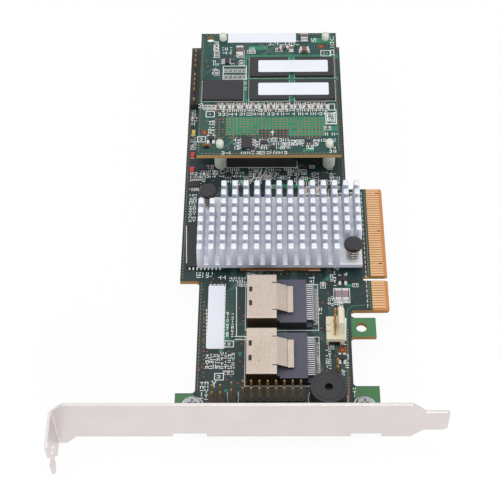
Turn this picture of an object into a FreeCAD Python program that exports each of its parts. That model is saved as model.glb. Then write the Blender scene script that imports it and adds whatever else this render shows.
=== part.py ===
import FreeCAD, Part
import math
import os

# A storage controller card with a folded slot bracket, a cache daughter board, a pin-fin heatsink and two
# internal sockets. Origin: the bracket's outer face, at the tip line of the edge connector, level with the
# board's top. +X points to the edge connector, +Y along the card to its far end, +Z to the component side.

os.makedirs("parts", exist_ok=True)

Vector = FreeCAD.Vector

# Main board
board_thickness = 1.57
board_near_y = 1.6
board_length = 167.05
board_left_x = -68.9
neck_left_x = -62.45
neck_near_y = 13.5
neck_far_y = 56.8
wing_left_x = -68.65
wing_right_x = -4.86
wing_right_depth = 14.4
right_edge_x = -12.95
far_edge_x = -12.3
tab_near_y = 34.5
tab_far_y = 41.9
tab_tip_x = -4.8
slot_width = 2.95
slot_end_x = -12.75
key_centre_y = 57.8
key_width = 1.9
key_end_x = -8.3
tongue_far_y = 96.7
inner_corner_r = 1.2
tip_corner_r = 0.8
tip_bevel_depth = 0.35
tip_bevel_run = 1.0
tab_hole_r = 1.75
tab_hole_x = -9.5

# Contact fingers of the edge connector
finger_pitch = 1.0
finger_width = 0.7
finger_tip_x = -1.2
finger_length = 4.3
finger_thickness = 0.05
near_finger_count = 11
far_finger_count = 38
key_to_finger = 1.5

# Slot bracket
sheet = 0.86
bend_r = 0.44
bracket_left_x = -105.3
bracket_length = 120.02
blade_top_z = 15.2
blade_width = 18.4
blade_top_left_x = -100.8
blade_top_right_x = 3.3
shoulder_x = 7.5
tail_top_z = 10.96
tail_bottom_z = 0.8
blade_bottom_right_x = 3.9
tail_top_r = 1.0
tail_bottom_r = 2.0
relief_rise = 0.45
ear_reach = 11.43
ear_top_z = 11.3
ear_bottom_z = -7.0
lobe_start_x = -98.6
lobe_end_x = -101.7
lobe_r = 1.3
ear_slot_width = 4.42
ear_slot_z = 2.0
ear_slot_depth = 6.04
ear_notch_near_y = -7.8
ear_notch_far_y = -4.7
ear_notch_rise = 3.8
ear_corner = 1.2
ear_lobe_r = 1.6
left_foot_x = -63.6
left_foot_width = 10.4
right_foot_x = -9.7
right_foot_width = 9.2
foot_reach = 12.6
foot_corner_r = 2.0

# Bracket screws
screw_y = 8.8
screw_xs = (-63.0, -9.85)
screw_r = 1.5
screw_hole_r = 1.7
screw_head_r = 2.8
screw_head_height = 2.2
screw_length = 4.8
screw_recess_span = 2.6
screw_recess_width = 0.6
screw_recess_depth = 1.1
screw_side_count = 20
thread_clearance = 0.02

# Cache board and what carries it
cache_top_z = 10.5
cache_thickness = 1.57
cache_left_x = -64.63
cache_right_x = -14.09
cache_length = 61.65
cache_far_gap = 3.4
cache_hole_inset = 3.4
cache_hole_r = 1.5
standoff_xs = (-56.45, -18.1)
standoff_near_inset = 4.4
standoff_far_inset = 3.0
standoff_body_r = 2.2
standoff_neck_r = 1.2
standoff_hole_r = 1.25
standoff_tip_r = 1.35
standoff_tip_height = 2.7
standoff_tail = 2.4
standoff_foot_r = 1.75
standoff_foot_rise = 0.7
standoff_side_count = 10
socket_left_x = -54.1
socket_right_x = -29.5
socket_inset = 3.6
socket_depth = 5.6
socket_height = 5.2
plug_inset = 0.9

# Memory chips on the cache board
chip_width = 14.2
chip_depth = 9.8
chip_height = 1.1
chip_xs = (-39.2, -22.6)
chip_backs = (30.55, 18.8)
control_chip_x = -56.0
control_chip_width = 14.6
label_thickness = 0.1
label_clip = 0.35
chip_label_width = 25.5
chip_label_depth = 6.1
chip_label_x = -30.4
far_label_left_x = -54.7
far_label_right_x = -29.1
far_label_depth = 5.0
resistor_count = 13
resistor_pitch = 3.18
resistor_first_x = -57.6
resistor_back = 38.55
resistor_size = (2.0, 1.2, 0.45)

# Heatsink
heatsink_left_x = -63.24
heatsink_near_y = 60.5
column_count = 15
row_count = 8
column_pitch = 3.752
row_pitch = 3.887
fin_root = 2.4
fin_top = 1.45
fin_depth = 2.3
base_bottom_z = 2.2
base_thickness = 1.87
fin_tip_z = 13.0
corner_column_count = 2
corner_row_count = 2

# Processor package
package_size = 26.8
package_x = -35.6
package_y = 74.55
substrate_height = 1.1
die_size = 22.0
pad_thickness = 0.3

# Push pins and springs
push_pin_dx = 24.2
push_pin_dy = 11.6
push_head_r = 3.1
push_head_top_z = 11.8
push_head_thickness = 1.8
push_head_chamfer = 0.3
push_flat_depth = 0.42
push_shaft_r = 1.15
push_hole_r = 1.5
push_barb_r = 1.75
push_tip_z = -5.0
push_side_count = 18
spring_r = 1.55
spring_wire_r = 0.25
spring_seat_gap = 0.05
spring_turn_count = 5
spring_side_count = 8

# Internal sockets
sas_ys = (25.2, 46.2)
cage_left_x = -46.4
cage_right_x = -36.85
cage_width = 17.5
cage_height = 6.4
cage_wall = 0.3
housing_right_x = -27.2
housing_width = 17.0
housing_height = 3.55
nose_left_x = -42.5
nose_width = 15.4
nose_slot_width = 13.8
nose_slot_height = 1.5
nose_slot_z = 1.0
nose_slot_end_wall = 2.5
tongue_width = 10.4
tongue_end_x = -31.5
tongue_end_z = 4.55
tongue_slit = 1.5
cage_hole_x = -45.2
cage_hole_offset = 2.75
cage_rib_x = -42.6
cage_rib_width = 0.9
cage_rib_length = 7.5
cage_rib_rise = 0.12
contact_count = 18
contact_pitch = 0.8
contact_width = 0.32
contact_thickness = 0.2
contact_top_z = 3.1
contact_bend_x = -24.9
contact_foot_x = -24.0

# Locking header
lock_left_x = -21.0
lock_right_x = -15.3
lock_near_y = 31.3
lock_far_y = 40.1
lock_height = 3.4
lock_groove_length = 2.8
lock_groove_width = 0.35
lock_groove_depth = 0.4
latch_left_x = -17.3
latch_near_y = 33.5
latch_far_y = 39.8
latch_top_z = 9.4
lock_pin_x = -18.3
lock_pin_count = 3
lock_pin_tip_z = 10.6

# Pin headers
pitch = 2.54
pin_size = 0.64
pin_clearance = 0.03
pin_tip_z = 8.5
pin_tail = 1.2
header_height = 2.54
header_notch = 0.45
wide_header_x = -38.4
wide_header_y = 11.575
wide_header_column_count = 8
header_row_count = 2
square_header_x = -55.43
square_header_column_count = 2
square_header_y = 10.1
single_header_x = -50.8
single_header_column_count = 1
single_header_y = 10.95
side_header_x = -18.0
side_header_y = 19.3
pin_point = 0.5
edge_header_left_x = -68.4
edge_header_width = 5.0
edge_header_far_gap = 4.0
edge_header_margin = 0.35
edge_header_count = 11
edge_header_pin_x = -67.0
edge_header_empty = (1, 6)
edge_header_tip_z = 4.4

# Buzzer
buzzer_x = -21.0
buzzer_y = 11.2
buzzer_r = 5.75
buzzer_height = 7.5
buzzer_hole_r = 1.2
buzzer_hole_depth = 1.6
buzzer_chamfer = 0.35
buzzer_mark = 1.6
buzzer_mark_width = 0.35
buzzer_mark_rise = 0.1

# Flash chip beside and under the heatsink
flash_left_x = -66.8
flash_width = 12.0
flash_near_y = 62.3
flash_length = 18.4
flash_height = 1.2
flash_lead_count = 9
flash_lead_pitch = 1.27
lead_reach = 0.8

# Label on the main board
label_left_x = -59.3
label_near_y = 30.0
label_width = 5.4
label_length = 25.0

# Small leaded chips: x, y, width, depth, height, leads on a side, lead pitch, leads along x.
# On the cache board the second number counts from its near edge, or from its far edge.
few_lead_count = 2
some_lead_count = 3
many_lead_count = 4
board_chips = (
    (-65.3, 98.8, 3.4, 2.6, 1.0, many_lead_count, 0.75, True),
    (-14.9, 57.3, 3.0, 1.7, 1.0, few_lead_count, 1.9, True),
    (-16.1, 26.3, 2.6, 1.5, 0.9, few_lead_count, 1.5, True),
)
cache_near_chips = (
    (-47.05, 5.0, 3.9, 4.9, 1.2, many_lead_count, 1.27, False),
    (-59.7, 7.6, 2.6, 1.5, 0.9, few_lead_count, 1.9, True),
)
cache_far_chips = (
    (-54.7, 15.15, 1.7, 2.9, 1.0, some_lead_count, 0.95, False),
)

# Ceramic parts with metal ends: x, y or distance from the cache board's far edge, width, depth, height
board_capacitors = (
    (-24.7, 95.2, 3.0, 4.0, 1.4),
    (-20.4, 95.2, 3.0, 4.0, 1.4),
    (-16.6, 50.8, 1.9, 4.6, 1.0),
    (-14.2, 50.8, 1.9, 4.6, 1.0),
)
cache_capacitors = (
    (-50.1, 10.05, 2.6, 4.2, 1.3),
    (-26.0, 2.65, 2.6, 3.0, 1.3),
    (-26.1, 9.65, 3.2, 2.0, 1.3),
    (-33.6, 7.85, 2.8, 1.3, 0.6),
    (-30.9, 8.45, 1.6, 2.6, 0.6),
)
lamp_x = -66.7
lamp_ys = (105.9, 112.8, 123.8)
lamp_size = (1.3, 2.0, 0.8)


def block(x0, y0, z0, x1, y1, z1):
    return Part.makeBox(x1 - x0, y1 - y0, z1 - z0, Vector(x0, y0, z0))


def slab(x, y, z, width, depth, height):
    return block(x - width / 2, y - depth / 2, z, x + width / 2, y + depth / 2, z + height)


def rod(x, y, z0, z1, radius):
    return Part.makeCylinder(radius, z1 - z0, Vector(x, y, z0))


def rounded_face(corners, place):
    """A flat face from corners (a, b, radius), put in space by place(a, b)."""
    starts = []
    arcs = []
    count = len(corners)
    for index in range(count):
        a, b, radius = corners[index]
        here = Vector(a, b, 0)
        before = Vector(*corners[index - 1][:2], 0)
        after = Vector(*corners[(index + 1) % count][:2], 0)
        if radius == 0:
            starts.append((here, here))
            arcs.append(None)
            continue
        back = (before - here).normalize()
        ahead = (after - here).normalize()
        half = back.getAngle(ahead) / 2
        run = radius / math.tan(half)
        centre = here + (back + ahead).normalize() * (radius / math.sin(half))
        middle = centre + (here - centre).normalize() * radius
        starts.append((here + back * run, here + ahead * run))
        arcs.append(middle)
    edges = []
    for index in range(count):
        entry, leave = starts[index]
        if arcs[index]:
            middle = arcs[index]
            edges.append(Part.Arc(place(entry), place(middle), place(leave)).toShape())
        following = starts[(index + 1) % count][0]
        if (following - leave).Length > 1e-6:
            edges.append(Part.makeLine(place(leave), place(following)))
    return Part.Face(Part.Wire(edges))


def plate(corners, z, thickness):
    face = rounded_face(corners, lambda p: Vector(p.x, p.y, z))
    return face.extrude(Vector(0, 0, thickness))


def profile_along_x(corners, x0, x1):
    face = rounded_face(corners, lambda p: Vector(x0, p.x, p.y))
    return face.extrude(Vector(x1 - x0, 0, 0))


def profile_along_y(corners, y0, y1):
    face = rounded_face(corners, lambda p: Vector(p.x, y0, p.y))
    return face.extrude(Vector(0, y1 - y0, 0))


def turned(corners, x, y):
    """A solid turned about the vertical line through x, y, from (radius, z, corner radius)."""
    face = rounded_face(corners, lambda p: Vector(x + p.x, y, p.y))
    return face.revolve(Vector(x, y, 0), Vector(0, 0, 1), 360)


def faceted(rings, x, y, sides):
    """A small moulded pin with flat sides about the vertical line through x, y, from (radius, z) rings."""
    loops = []
    for radius, z in rings:
        loop = []
        for index in range(sides):
            angle = 2 * math.pi * (index + 0.5) / sides
            loop.append(Vector(x + radius * math.cos(angle), y + radius * math.sin(angle), z))
        loops.append(loop)
    outlines = [loops[0], loops[-1]]
    for lower, upper in zip(loops, loops[1:]):
        for index in range(sides):
            outlines.append([lower[index - 1], lower[index], upper[index], upper[index - 1]])
    faces = [Part.Face(Part.makePolygon(outline + outline[:1])) for outline in outlines]
    return Part.Solid(Part.Shell(faces))


def rectangle(x0, y0, x1, y1):
    return [(x0, y0, 0), (x1, y0, 0), (x1, y1, 0), (x0, y1, 0)]


def clipped_rectangle(x0, y0, x1, y1, clip):
    return [
        (x0 + clip, y0, 0), (x1 - clip, y0, 0), (x1, y0 + clip, 0), (x1, y1 - clip, 0),
        (x1 - clip, y1, 0), (x0 + clip, y1, 0), (x0, y1 - clip, 0), (x0, y0 + clip, 0),
    ]


def joined(solids):
    return solids[0].fuse(solids[1:]).removeSplitter()


def save(name, solids):
    """Write one node, as one solid or as a group of separate ones."""
    shape = solids[0] if len(solids) == 1 else Part.makeCompound(solids)
    shape.exportStep("parts/" + name + ".step")


# Places that several pieces share
cache_bottom_z = cache_top_z - cache_thickness
board_bottom_z = -board_thickness
board_far_y = board_near_y + board_length
cache_far_y = board_far_y - cache_far_gap
cache_near_y = cache_far_y - cache_length
standoff_ys = (cache_near_y + standoff_near_inset, cache_far_y - standoff_far_inset)
chip_ys = [cache_far_y - back for back in chip_backs]
edge_header_length = (edge_header_count - 1) * pitch + header_height + 2 * edge_header_margin
edge_header_near_y = board_far_y - edge_header_far_gap - edge_header_length
chip_top_z = cache_top_z + chip_height
heatsink_width = (column_count - 1) * column_pitch + fin_root
heatsink_depth = (row_count - 1) * row_pitch + fin_depth
heatsink_centre_x = heatsink_left_x + heatsink_width / 2
heatsink_centre_y = heatsink_near_y + heatsink_depth / 2
base_top_z = base_bottom_z + base_thickness
push_pin_places = [
    (heatsink_centre_x + push_pin_dx, heatsink_centre_y - push_pin_dy),
    (heatsink_centre_x - push_pin_dx, heatsink_centre_y + push_pin_dy),
]
standoff_places = [(x, y) for x in standoff_xs for y in standoff_ys]


def header_places(x, y, columns, rows):
    places = []
    for column in range(columns):
        for row in range(rows):
            px = x + (column - (columns - 1) / 2) * pitch
            py = y + (row - (rows - 1) / 2) * pitch
            places.append((px, py))
    return places


header_blocks = [
    (wide_header_x, wide_header_y, wide_header_column_count, header_row_count),
    (square_header_x, square_header_y, square_header_column_count, header_row_count),
    (single_header_x, single_header_y, single_header_column_count, header_row_count),
    (side_header_x, side_header_y, single_header_column_count, header_row_count),
]
header_pin_places = []
for header_block in header_blocks:
    header_pin_places += header_places(*header_block)
lock_pin_y = (lock_near_y + lock_far_y) / 2
lock_pin_places = header_places(lock_pin_x, lock_pin_y, 1, lock_pin_count)
edge_pin_places = []
for position in range(edge_header_count):
    if position not in edge_header_empty:
        pin_y = edge_header_near_y + edge_header_margin + header_height / 2 + position * pitch
        edge_pin_places.append((edge_header_pin_x, pin_y))
buzzer_pin_places = [(buzzer_x - 1.5 * pitch, buzzer_y), (buzzer_x + 1.5 * pitch, buzzer_y)]


def make_main_board():
    wing_far_y = board_near_y + wing_right_depth
    slot_far_y = tab_far_y + slot_width
    key_near_y = key_centre_y - key_width / 2
    key_far_y = key_centre_y + key_width / 2
    slot_r = slot_width / 2 - 0.001
    key_r = key_width / 2 - 0.001
    outline = [
        (wing_left_x, board_near_y, 0),
        (wing_right_x, board_near_y, 0),
        (wing_right_x, wing_far_y, 0),
        (right_edge_x, wing_far_y, inner_corner_r),
        (right_edge_x, tab_near_y, inner_corner_r),
        (tab_tip_x, tab_near_y, 0),
        (tab_tip_x, tab_far_y, 0),
        (slot_end_x, tab_far_y, slot_r),
        (slot_end_x, slot_far_y, slot_r),
        (0, slot_far_y, tip_corner_r),
        (0, key_near_y, 0),
        (key_end_x, key_near_y, key_r),
        (key_end_x, key_far_y, key_r),
        (0, key_far_y, 0),
        (0, tongue_far_y, tip_corner_r),
        (far_edge_x, tongue_far_y, inner_corner_r),
        (far_edge_x, board_far_y, 0),
        (board_left_x, board_far_y, 0),
        (board_left_x, neck_far_y, 0),
        (neck_left_x, neck_far_y, inner_corner_r),
        (neck_left_x, neck_near_y, inner_corner_r),
        (wing_left_x, neck_near_y, 0),
    ]
    board = plate(outline, board_bottom_z, board_thickness)
    bevels = []
    for face_z, inward in ((0, -tip_bevel_depth), (board_bottom_z, tip_bevel_depth)):
        wedge = [(-tip_bevel_run, face_z, 0), (0.1, face_z, 0), (0.1, face_z + inward * 1.1, 0)]
        bevels.append(profile_along_y(wedge, slot_far_y - 1, tongue_far_y + 1))
    holes = [rod(tab_hole_x, (tab_near_y + tab_far_y) / 2, board_bottom_z, 0, tab_hole_r)]
    holes += [rod(x, screw_y, board_bottom_z, 0, screw_hole_r) for x in screw_xs]
    holes += [rod(x, y, board_bottom_z, 0, standoff_hole_r) for x, y in standoff_places]
    holes += [rod(x, y, board_bottom_z, 0, push_hole_r) for x, y in push_pin_places]
    pin_hole = pin_size + 2 * pin_clearance
    for x, y in header_pin_places + lock_pin_places + edge_pin_places + buzzer_pin_places:
        holes.append(slab(x, y, board_bottom_z, pin_hole, pin_hole, board_thickness))
    save("main_board", [board.cut(bevels + holes)])


def make_edge_contacts():
    ys = [key_centre_y - key_to_finger - finger_pitch * i for i in range(near_finger_count)]
    ys += [key_centre_y + key_to_finger + finger_pitch * i for i in range(far_finger_count)]
    fingers = []
    for y in ys:
        for z in (0, board_bottom_z - finger_thickness):
            x = finger_tip_x - finger_length / 2
            fingers.append(slab(x, y, z, finger_length, finger_width, finger_thickness))
    save("edge_contacts", fingers)


def make_bracket():
    right_x = bracket_left_x + bracket_length
    blade_bottom_z = blade_top_z - blade_width
    outline = [
        (bracket_left_x, ear_top_z, 0),
        (blade_top_left_x - (blade_top_z - ear_top_z) * 0.9, ear_top_z, 0),
        (blade_top_left_x, blade_top_z, 0),
        (blade_top_right_x, blade_top_z, 0),
        (shoulder_x, tail_top_z, 0),
        (right_x, tail_top_z, tail_top_r),
        (right_x, tail_bottom_z, tail_bottom_r),
        (shoulder_x, tail_bottom_z, 0),
        (blade_bottom_right_x, blade_bottom_z, 0),
        (lobe_start_x, blade_bottom_z, lobe_r),
        (lobe_end_x, ear_bottom_z, lobe_r),
        (bracket_left_x, ear_bottom_z, 0),
    ]
    front = profile_along_y(outline, -ear_reach, sheet)
    outer_r = bend_r + sheet
    fold = [
        (right_x, 0, 0),
        (right_x, sheet, 0),
        (bracket_left_x, sheet, outer_r),
        (bracket_left_x, -ear_reach, 0),
        (bracket_left_x + sheet, -ear_reach, 0),
        (bracket_left_x + sheet, 0, bend_r),
    ]
    folded = plate(fold, ear_bottom_z, blade_top_z - ear_bottom_z)
    body = folded.common(front)
    ear_x0 = bracket_left_x - 1
    ear_x1 = bracket_left_x + outer_r + 0.2
    slot_bottom_y = -ear_reach + ear_slot_depth
    slot_r = ear_slot_width / 2 - 0.001
    slot_low_z = ear_slot_z - ear_slot_width / 2
    slot_high_z = ear_slot_z + ear_slot_width / 2
    notch_top_z = ear_bottom_z + ear_notch_rise
    ear_outline = [
        (-ear_reach, ear_bottom_z, ear_lobe_r),
        (ear_notch_near_y, ear_bottom_z, ear_lobe_r),
        (ear_notch_near_y, notch_top_z, 0),
        (ear_notch_far_y, notch_top_z, 0),
        (ear_notch_far_y, ear_bottom_z, 0),
        (sheet + 1, ear_bottom_z, 0),
        (sheet + 1, blade_top_z, 0),
        (-ear_reach + ear_corner, blade_top_z, 0),
        (-ear_reach + ear_corner, ear_top_z, 0),
        (-ear_reach, ear_top_z - ear_corner, 0),
        (-ear_reach, slot_high_z, 0),
        (slot_bottom_y, slot_high_z, slot_r),
        (slot_bottom_y, slot_low_z, slot_r),
        (-ear_reach, slot_low_z, 0),
    ]
    ear_zone = block(ear_x0, -ear_reach - 1, ear_bottom_z - 1, ear_x1, sheet + 1, blade_top_z + 1)
    cuts = [ear_zone.cut(profile_along_x(ear_outline, ear_x0, ear_x1))]
    feet = []
    foot_top_z = board_bottom_z
    foot_bottom_z = foot_top_z - sheet
    relief_z = blade_bottom_z + relief_rise
    for foot_x, foot_width in ((left_foot_x, left_foot_width), (right_foot_x, right_foot_width)):
        x0 = foot_x - foot_width / 2
        x1 = foot_x + foot_width / 2
        cuts.append(block(x0, -1, blade_bottom_z - 1, x1, sheet + 1, relief_z))
        section = [
            (0, foot_top_z + outer_r, 0),
            (0, foot_bottom_z, outer_r),
            (foot_reach, foot_bottom_z, 0),
            (foot_reach, foot_top_z, 0),
            (sheet, foot_top_z, bend_r),
            (sheet, foot_top_z + outer_r, 0),
        ]
        foot = profile_along_x(section, x0, x1)
        shape = [
            (x0, -1, 0),
            (x1, -1, 0),
            (x1, foot_reach, foot_corner_r),
            (x0, foot_reach, foot_corner_r),
        ]
        feet.append(foot.common(plate(shape, foot_bottom_z - 1, 2 * outer_r + 2)))
    trimmed = body.cut(cuts)
    for foot_x, foot_width in ((left_foot_x, left_foot_width), (right_foot_x, right_foot_width)):
        bend_zone = block(foot_x - foot_width / 2, -1, blade_bottom_z - 1,
                          foot_x + foot_width / 2, sheet + 1, foot_top_z + outer_r)
        trimmed = trimmed.cut(bend_zone)
    whole = joined([trimmed] + feet)
    holes = [rod(x, screw_y, foot_bottom_z, foot_top_z, screw_r + thread_clearance) for x in screw_xs]
    save("slot_bracket", [whole.cut(holes)])


def make_screws():
    screws = []
    for x in screw_xs:
        rings = [
            (screw_r, -screw_length),
            (screw_r, 0),
            (screw_head_r, 0),
            (screw_head_r, screw_head_height * 0.5),
            (screw_head_r * 0.72, screw_head_height),
        ]
        body = faceted(rings, x, screw_y, screw_side_count)
        recess_z = screw_head_height - screw_recess_depth
        cross = [
            slab(x, screw_y, recess_z, screw_recess_span, screw_recess_width, screw_recess_depth),
            slab(x, screw_y, recess_z, screw_recess_width, screw_recess_span, screw_recess_depth),
        ]
        screws.append(body.cut(cross))
    save("bracket_screws", screws)


def make_cache_board():
    outline = rectangle(cache_left_x, cache_near_y, cache_right_x, cache_far_y)
    board = plate(outline, cache_bottom_z, cache_thickness)
    hole_x = cache_left_x + cache_hole_inset
    holes = [rod(hole_x, y, cache_bottom_z, cache_top_z, cache_hole_r) for y in standoff_ys]
    holes += [rod(x, y, cache_bottom_z, cache_top_z, standoff_hole_r) for x, y in standoff_places]
    save("cache_board", [board.cut(holes)])


def make_standoffs():
    pins = []
    for x, y in standoff_places:
        tip_z = cache_top_z + standoff_tip_height
        tail_z = board_bottom_z - standoff_tail
        rings = [
            (standoff_tip_r * 0.5, tail_z),
            (standoff_tip_r, board_bottom_z),
            (standoff_neck_r, board_bottom_z),
            (standoff_neck_r, 0),
            (standoff_foot_r, 0),
            (standoff_body_r, standoff_foot_rise),
            (standoff_body_r, cache_bottom_z),
            (standoff_neck_r, cache_bottom_z),
            (standoff_neck_r, cache_top_z),
            (standoff_tip_r, cache_top_z),
            (standoff_tip_r, tip_z - 1.4),
            (standoff_tip_r * 0.75, tip_z - 0.4),
            (standoff_tip_r * 0.35, tip_z),
        ]
        pins.append(faceted(rings, x, y, standoff_side_count))
    save("board_standoffs", pins)


def make_board_connector():
    socket_near_y = cache_near_y + socket_inset
    socket_far_y = socket_near_y + socket_depth
    lower = block(socket_left_x, socket_near_y, 0, socket_right_x, socket_far_y, socket_height)
    ends = [
        block(socket_left_x - 1, socket_near_y - 1, socket_height - 1.4,
              socket_left_x + 1.2, socket_near_y + 1.2, socket_height + 1),
        block(socket_right_x - 1.2, socket_near_y - 1, socket_height - 1.4,
              socket_right_x + 1, socket_near_y + 1.2, socket_height + 1),
    ]
    save("stacking_socket", [lower.cut(ends)])
    inset = plug_inset
    upper = block(socket_left_x + inset, socket_near_y + inset, socket_height,
                  socket_right_x - inset, socket_far_y - inset, cache_bottom_z)
    save("stacking_plug", [upper])


def make_memory_chips():
    chips = []
    for x in chip_xs:
        for y in chip_ys:
            chips.append(slab(x, y, cache_top_z, chip_width, chip_depth, chip_height))
    save("memory_chips", chips)
    save("cache_control_chip",
         [slab(control_chip_x, chip_ys[0], cache_top_z, control_chip_width, chip_depth, chip_height)])


def leaded_chip(x, y, z, width, depth, height, leads, lead_pitch, along_x):
    """A moulded body, and its bent leads in a list: spaced along X or along Y, on the two sides across."""
    lead_width = lead_pitch * 0.4
    edge = 0.12 * height
    corners = [
        (-width / 2, 0.15 * height, 0),
        (width / 2, 0.15 * height, 0),
        (width / 2 - edge, height, 0),
        (-width / 2 + edge, height, 0),
    ]
    body = profile_along_y([(x + a, z + b, r) for a, b, r in corners], y - depth / 2, y + depth / 2)
    bent = []
    span = depth if along_x else width
    foot = 0.15 * height
    for side in (-1, 1):
        for index in range(leads):
            offset = (index - (leads - 1) / 2) * lead_pitch
            near = side * (span / 2 - edge)
            knee = side * (span / 2 + lead_reach * 0.4)
            far = side * (span / 2 + lead_reach)
            path = [
                (near, height * 0.5),
                (knee, height * 0.5),
                (far, foot),
                (far, 0),
                (knee - side * foot * 0.5, height * 0.5 - foot),
                (near, height * 0.5 - foot),
            ]
            if along_x:
                corners = [(y + a, z + b, 0) for a, b in path]
                lead = profile_along_x(corners, x + offset - lead_width / 2, x + offset + lead_width / 2)
            else:
                corners = [(x + a, z + b, 0) for a, b in path]
                lead = profile_along_y(corners, y + offset - lead_width / 2, y + offset + lead_width / 2)
            bent.append(lead.cut(body))
    return body, bent


def save_leaded(name, leads_name, chips):
    save(name, [body for body, bent in chips])
    save(leads_name, [lead for body, bent in chips for lead in bent])


def make_small_chips():
    on_cache = [leaded_chip(x, cache_near_y + row, cache_top_z, *form) for x, row, *form in cache_near_chips]
    on_cache += [leaded_chip(x, cache_far_y - back, cache_top_z, *form) for x, back, *form in cache_far_chips]
    save_leaded("cache_small_chips", "cache_chip_leads", on_cache)
    on_board = [leaded_chip(x, y, 0, *form) for x, y, *form in board_chips]
    save_leaded("board_small_chips", "board_chip_leads", on_board)


def end_capped(x, y, z, width, depth, height):
    """A ceramic chip part: a body with slightly fuller end caps along its longer side."""
    cap = 0.22 * max(width, depth)
    lift = 0.04
    body = slab(x, y, z + lift, width - lift, depth - lift, height - 2 * lift)
    caps = []
    for side in (-1, 1):
        if width > depth:
            caps.append(slab(x + side * (width - cap) / 2, y, z, cap, depth, height))
        else:
            caps.append(slab(x, y + side * (depth - cap) / 2, z, width, cap, height))
    return joined([body] + caps)


def make_small_parts():
    packs = []
    for index in range(resistor_count):
        x = resistor_first_x + index * resistor_pitch
        packs.append(slab(x, cache_far_y - resistor_back, cache_top_z, *resistor_size))
    save("resistor_packs", packs)
    save("cache_capacitors", [end_capped(x, cache_far_y - back, cache_top_z, *size)
                              for x, back, *size in cache_capacitors])
    save("board_capacitors", [end_capped(x, y, 0, *size) for x, y, *size in board_capacitors])
    save("indicator_lamps", [slab(lamp_x, y, 0, *lamp_size) for y in lamp_ys])


def make_labels():
    label_z = chip_top_z
    labels = []
    for y in chip_ys:
        outline = clipped_rectangle(chip_label_x - chip_label_width / 2, y - chip_label_depth / 2,
                                    chip_label_x + chip_label_width / 2, y + chip_label_depth / 2,
                                    label_clip)
        labels.append(plate(outline, label_z, label_thickness))
    labels.append(block(far_label_left_x, cache_far_y - far_label_depth, cache_top_z,
                        far_label_right_x, cache_far_y, cache_top_z + label_thickness))
    save("cache_labels", labels)
    outline = clipped_rectangle(label_left_x, label_near_y, label_left_x + label_width,
                                label_near_y + label_length, label_clip)
    save("board_label", [plate(outline, 0, label_thickness)])


def make_heatsink():
    right_x = heatsink_left_x + heatsink_width
    far_y = heatsink_near_y + heatsink_depth
    profile = [(right_x, base_bottom_z, 0), (heatsink_left_x, base_bottom_z, 0)]
    for column in range(column_count):
        centre = heatsink_left_x + fin_root / 2 + column * column_pitch
        profile.append((centre - fin_root / 2, base_top_z, 0))
        profile.append((centre - fin_top / 2, fin_tip_z, 0))
        profile.append((centre + fin_top / 2, fin_tip_z, 0))
        profile.append((centre + fin_root / 2, base_top_z, 0))
    extrusion = profile_along_y(profile, heatsink_near_y, far_y)
    cuts = []
    for row in range(row_count - 1):
        lane_y = heatsink_near_y + fin_depth + row * row_pitch
        cuts.append(block(heatsink_left_x - 1, lane_y, base_top_z, right_x + 1,
                          lane_y + row_pitch - fin_depth, fin_tip_z + 1))
    clear_x = corner_column_count * column_pitch - (column_pitch - fin_root) / 2
    clear_y = corner_row_count * row_pitch - (row_pitch - fin_depth) / 2
    cuts.append(block(right_x - clear_x, heatsink_near_y - 1, base_top_z,
                      right_x + 1, heatsink_near_y + clear_y, fin_tip_z + 1))
    cuts.append(block(heatsink_left_x - 1, far_y - clear_y, base_top_z,
                      heatsink_left_x + clear_x, far_y + 1, fin_tip_z + 1))
    cuts += [rod(x, y, base_bottom_z, base_top_z, push_hole_r) for x, y in push_pin_places]
    save("heatsink", [extrusion.cut(cuts)])


def make_package():
    die_top_z = base_bottom_z - pad_thickness
    substrate = slab(package_x, package_y, 0, package_size, package_size, substrate_height)
    die = slab(package_x, package_y, substrate_height, die_size, die_size, die_top_z - substrate_height)
    save("processor_package", [joined([substrate, die])])
    save("thermal_pad", [slab(package_x, package_y, die_top_z, die_size, die_size, pad_thickness)])


def coil_spring(length):
    """An open coil along +Z from the origin, its wire led round in short straight steps."""
    steps = spring_turn_count * spring_side_count
    first_z = spring_wire_r + spring_seat_gap
    rise = (length - 2 * first_z) / steps
    points = []
    for step in range(steps + 1):
        angle = 2 * math.pi * step / spring_side_count
        points.append(Vector(spring_r * math.cos(angle), spring_r * math.sin(angle), first_z + step * rise))
    path = Part.makePolygon(points)
    across = (points[1] - points[0]).normalize()
    first = across.cross(Vector(0, 0, 1)).normalize() * spring_wire_r
    second = across.cross(first)
    start = points[0]
    section = Part.makePolygon([start + first, start + second, start - first, start - second, start + first])
    return path.makePipeShell([section], True, True, 1)


def make_push_pins():
    pins = []
    springs = []
    head_bottom_z = push_head_top_z - push_head_thickness
    for index, (x, y) in enumerate(push_pin_places):
        rings = [
            (push_shaft_r * 0.4, push_tip_z),
            (push_barb_r, board_bottom_z - 0.35),
            (push_shaft_r, board_bottom_z - 0.35),
            (push_shaft_r, head_bottom_z),
            (push_head_r, head_bottom_z),
            (push_head_r, push_head_top_z - push_head_chamfer),
            (push_head_r - push_head_chamfer, push_head_top_z),
        ]
        pin = faceted(rings, x, y, push_side_count)
        flat_y = y - push_head_r + push_flat_depth
        flat = block(x - push_head_r, flat_y - push_head_r, head_bottom_z,
                     x + push_head_r, flat_y, push_head_top_z + 1)
        flat.rotate(Vector(x, y, 0), Vector(0, 0, 1), 115 * index)
        pins.append(pin.cut(flat))
        coil = coil_spring(head_bottom_z - base_top_z)
        coil.translate(Vector(x, y, base_top_z))
        springs.append(coil)
    save("push_pins", pins)
    save("push_pin_springs", springs)


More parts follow.
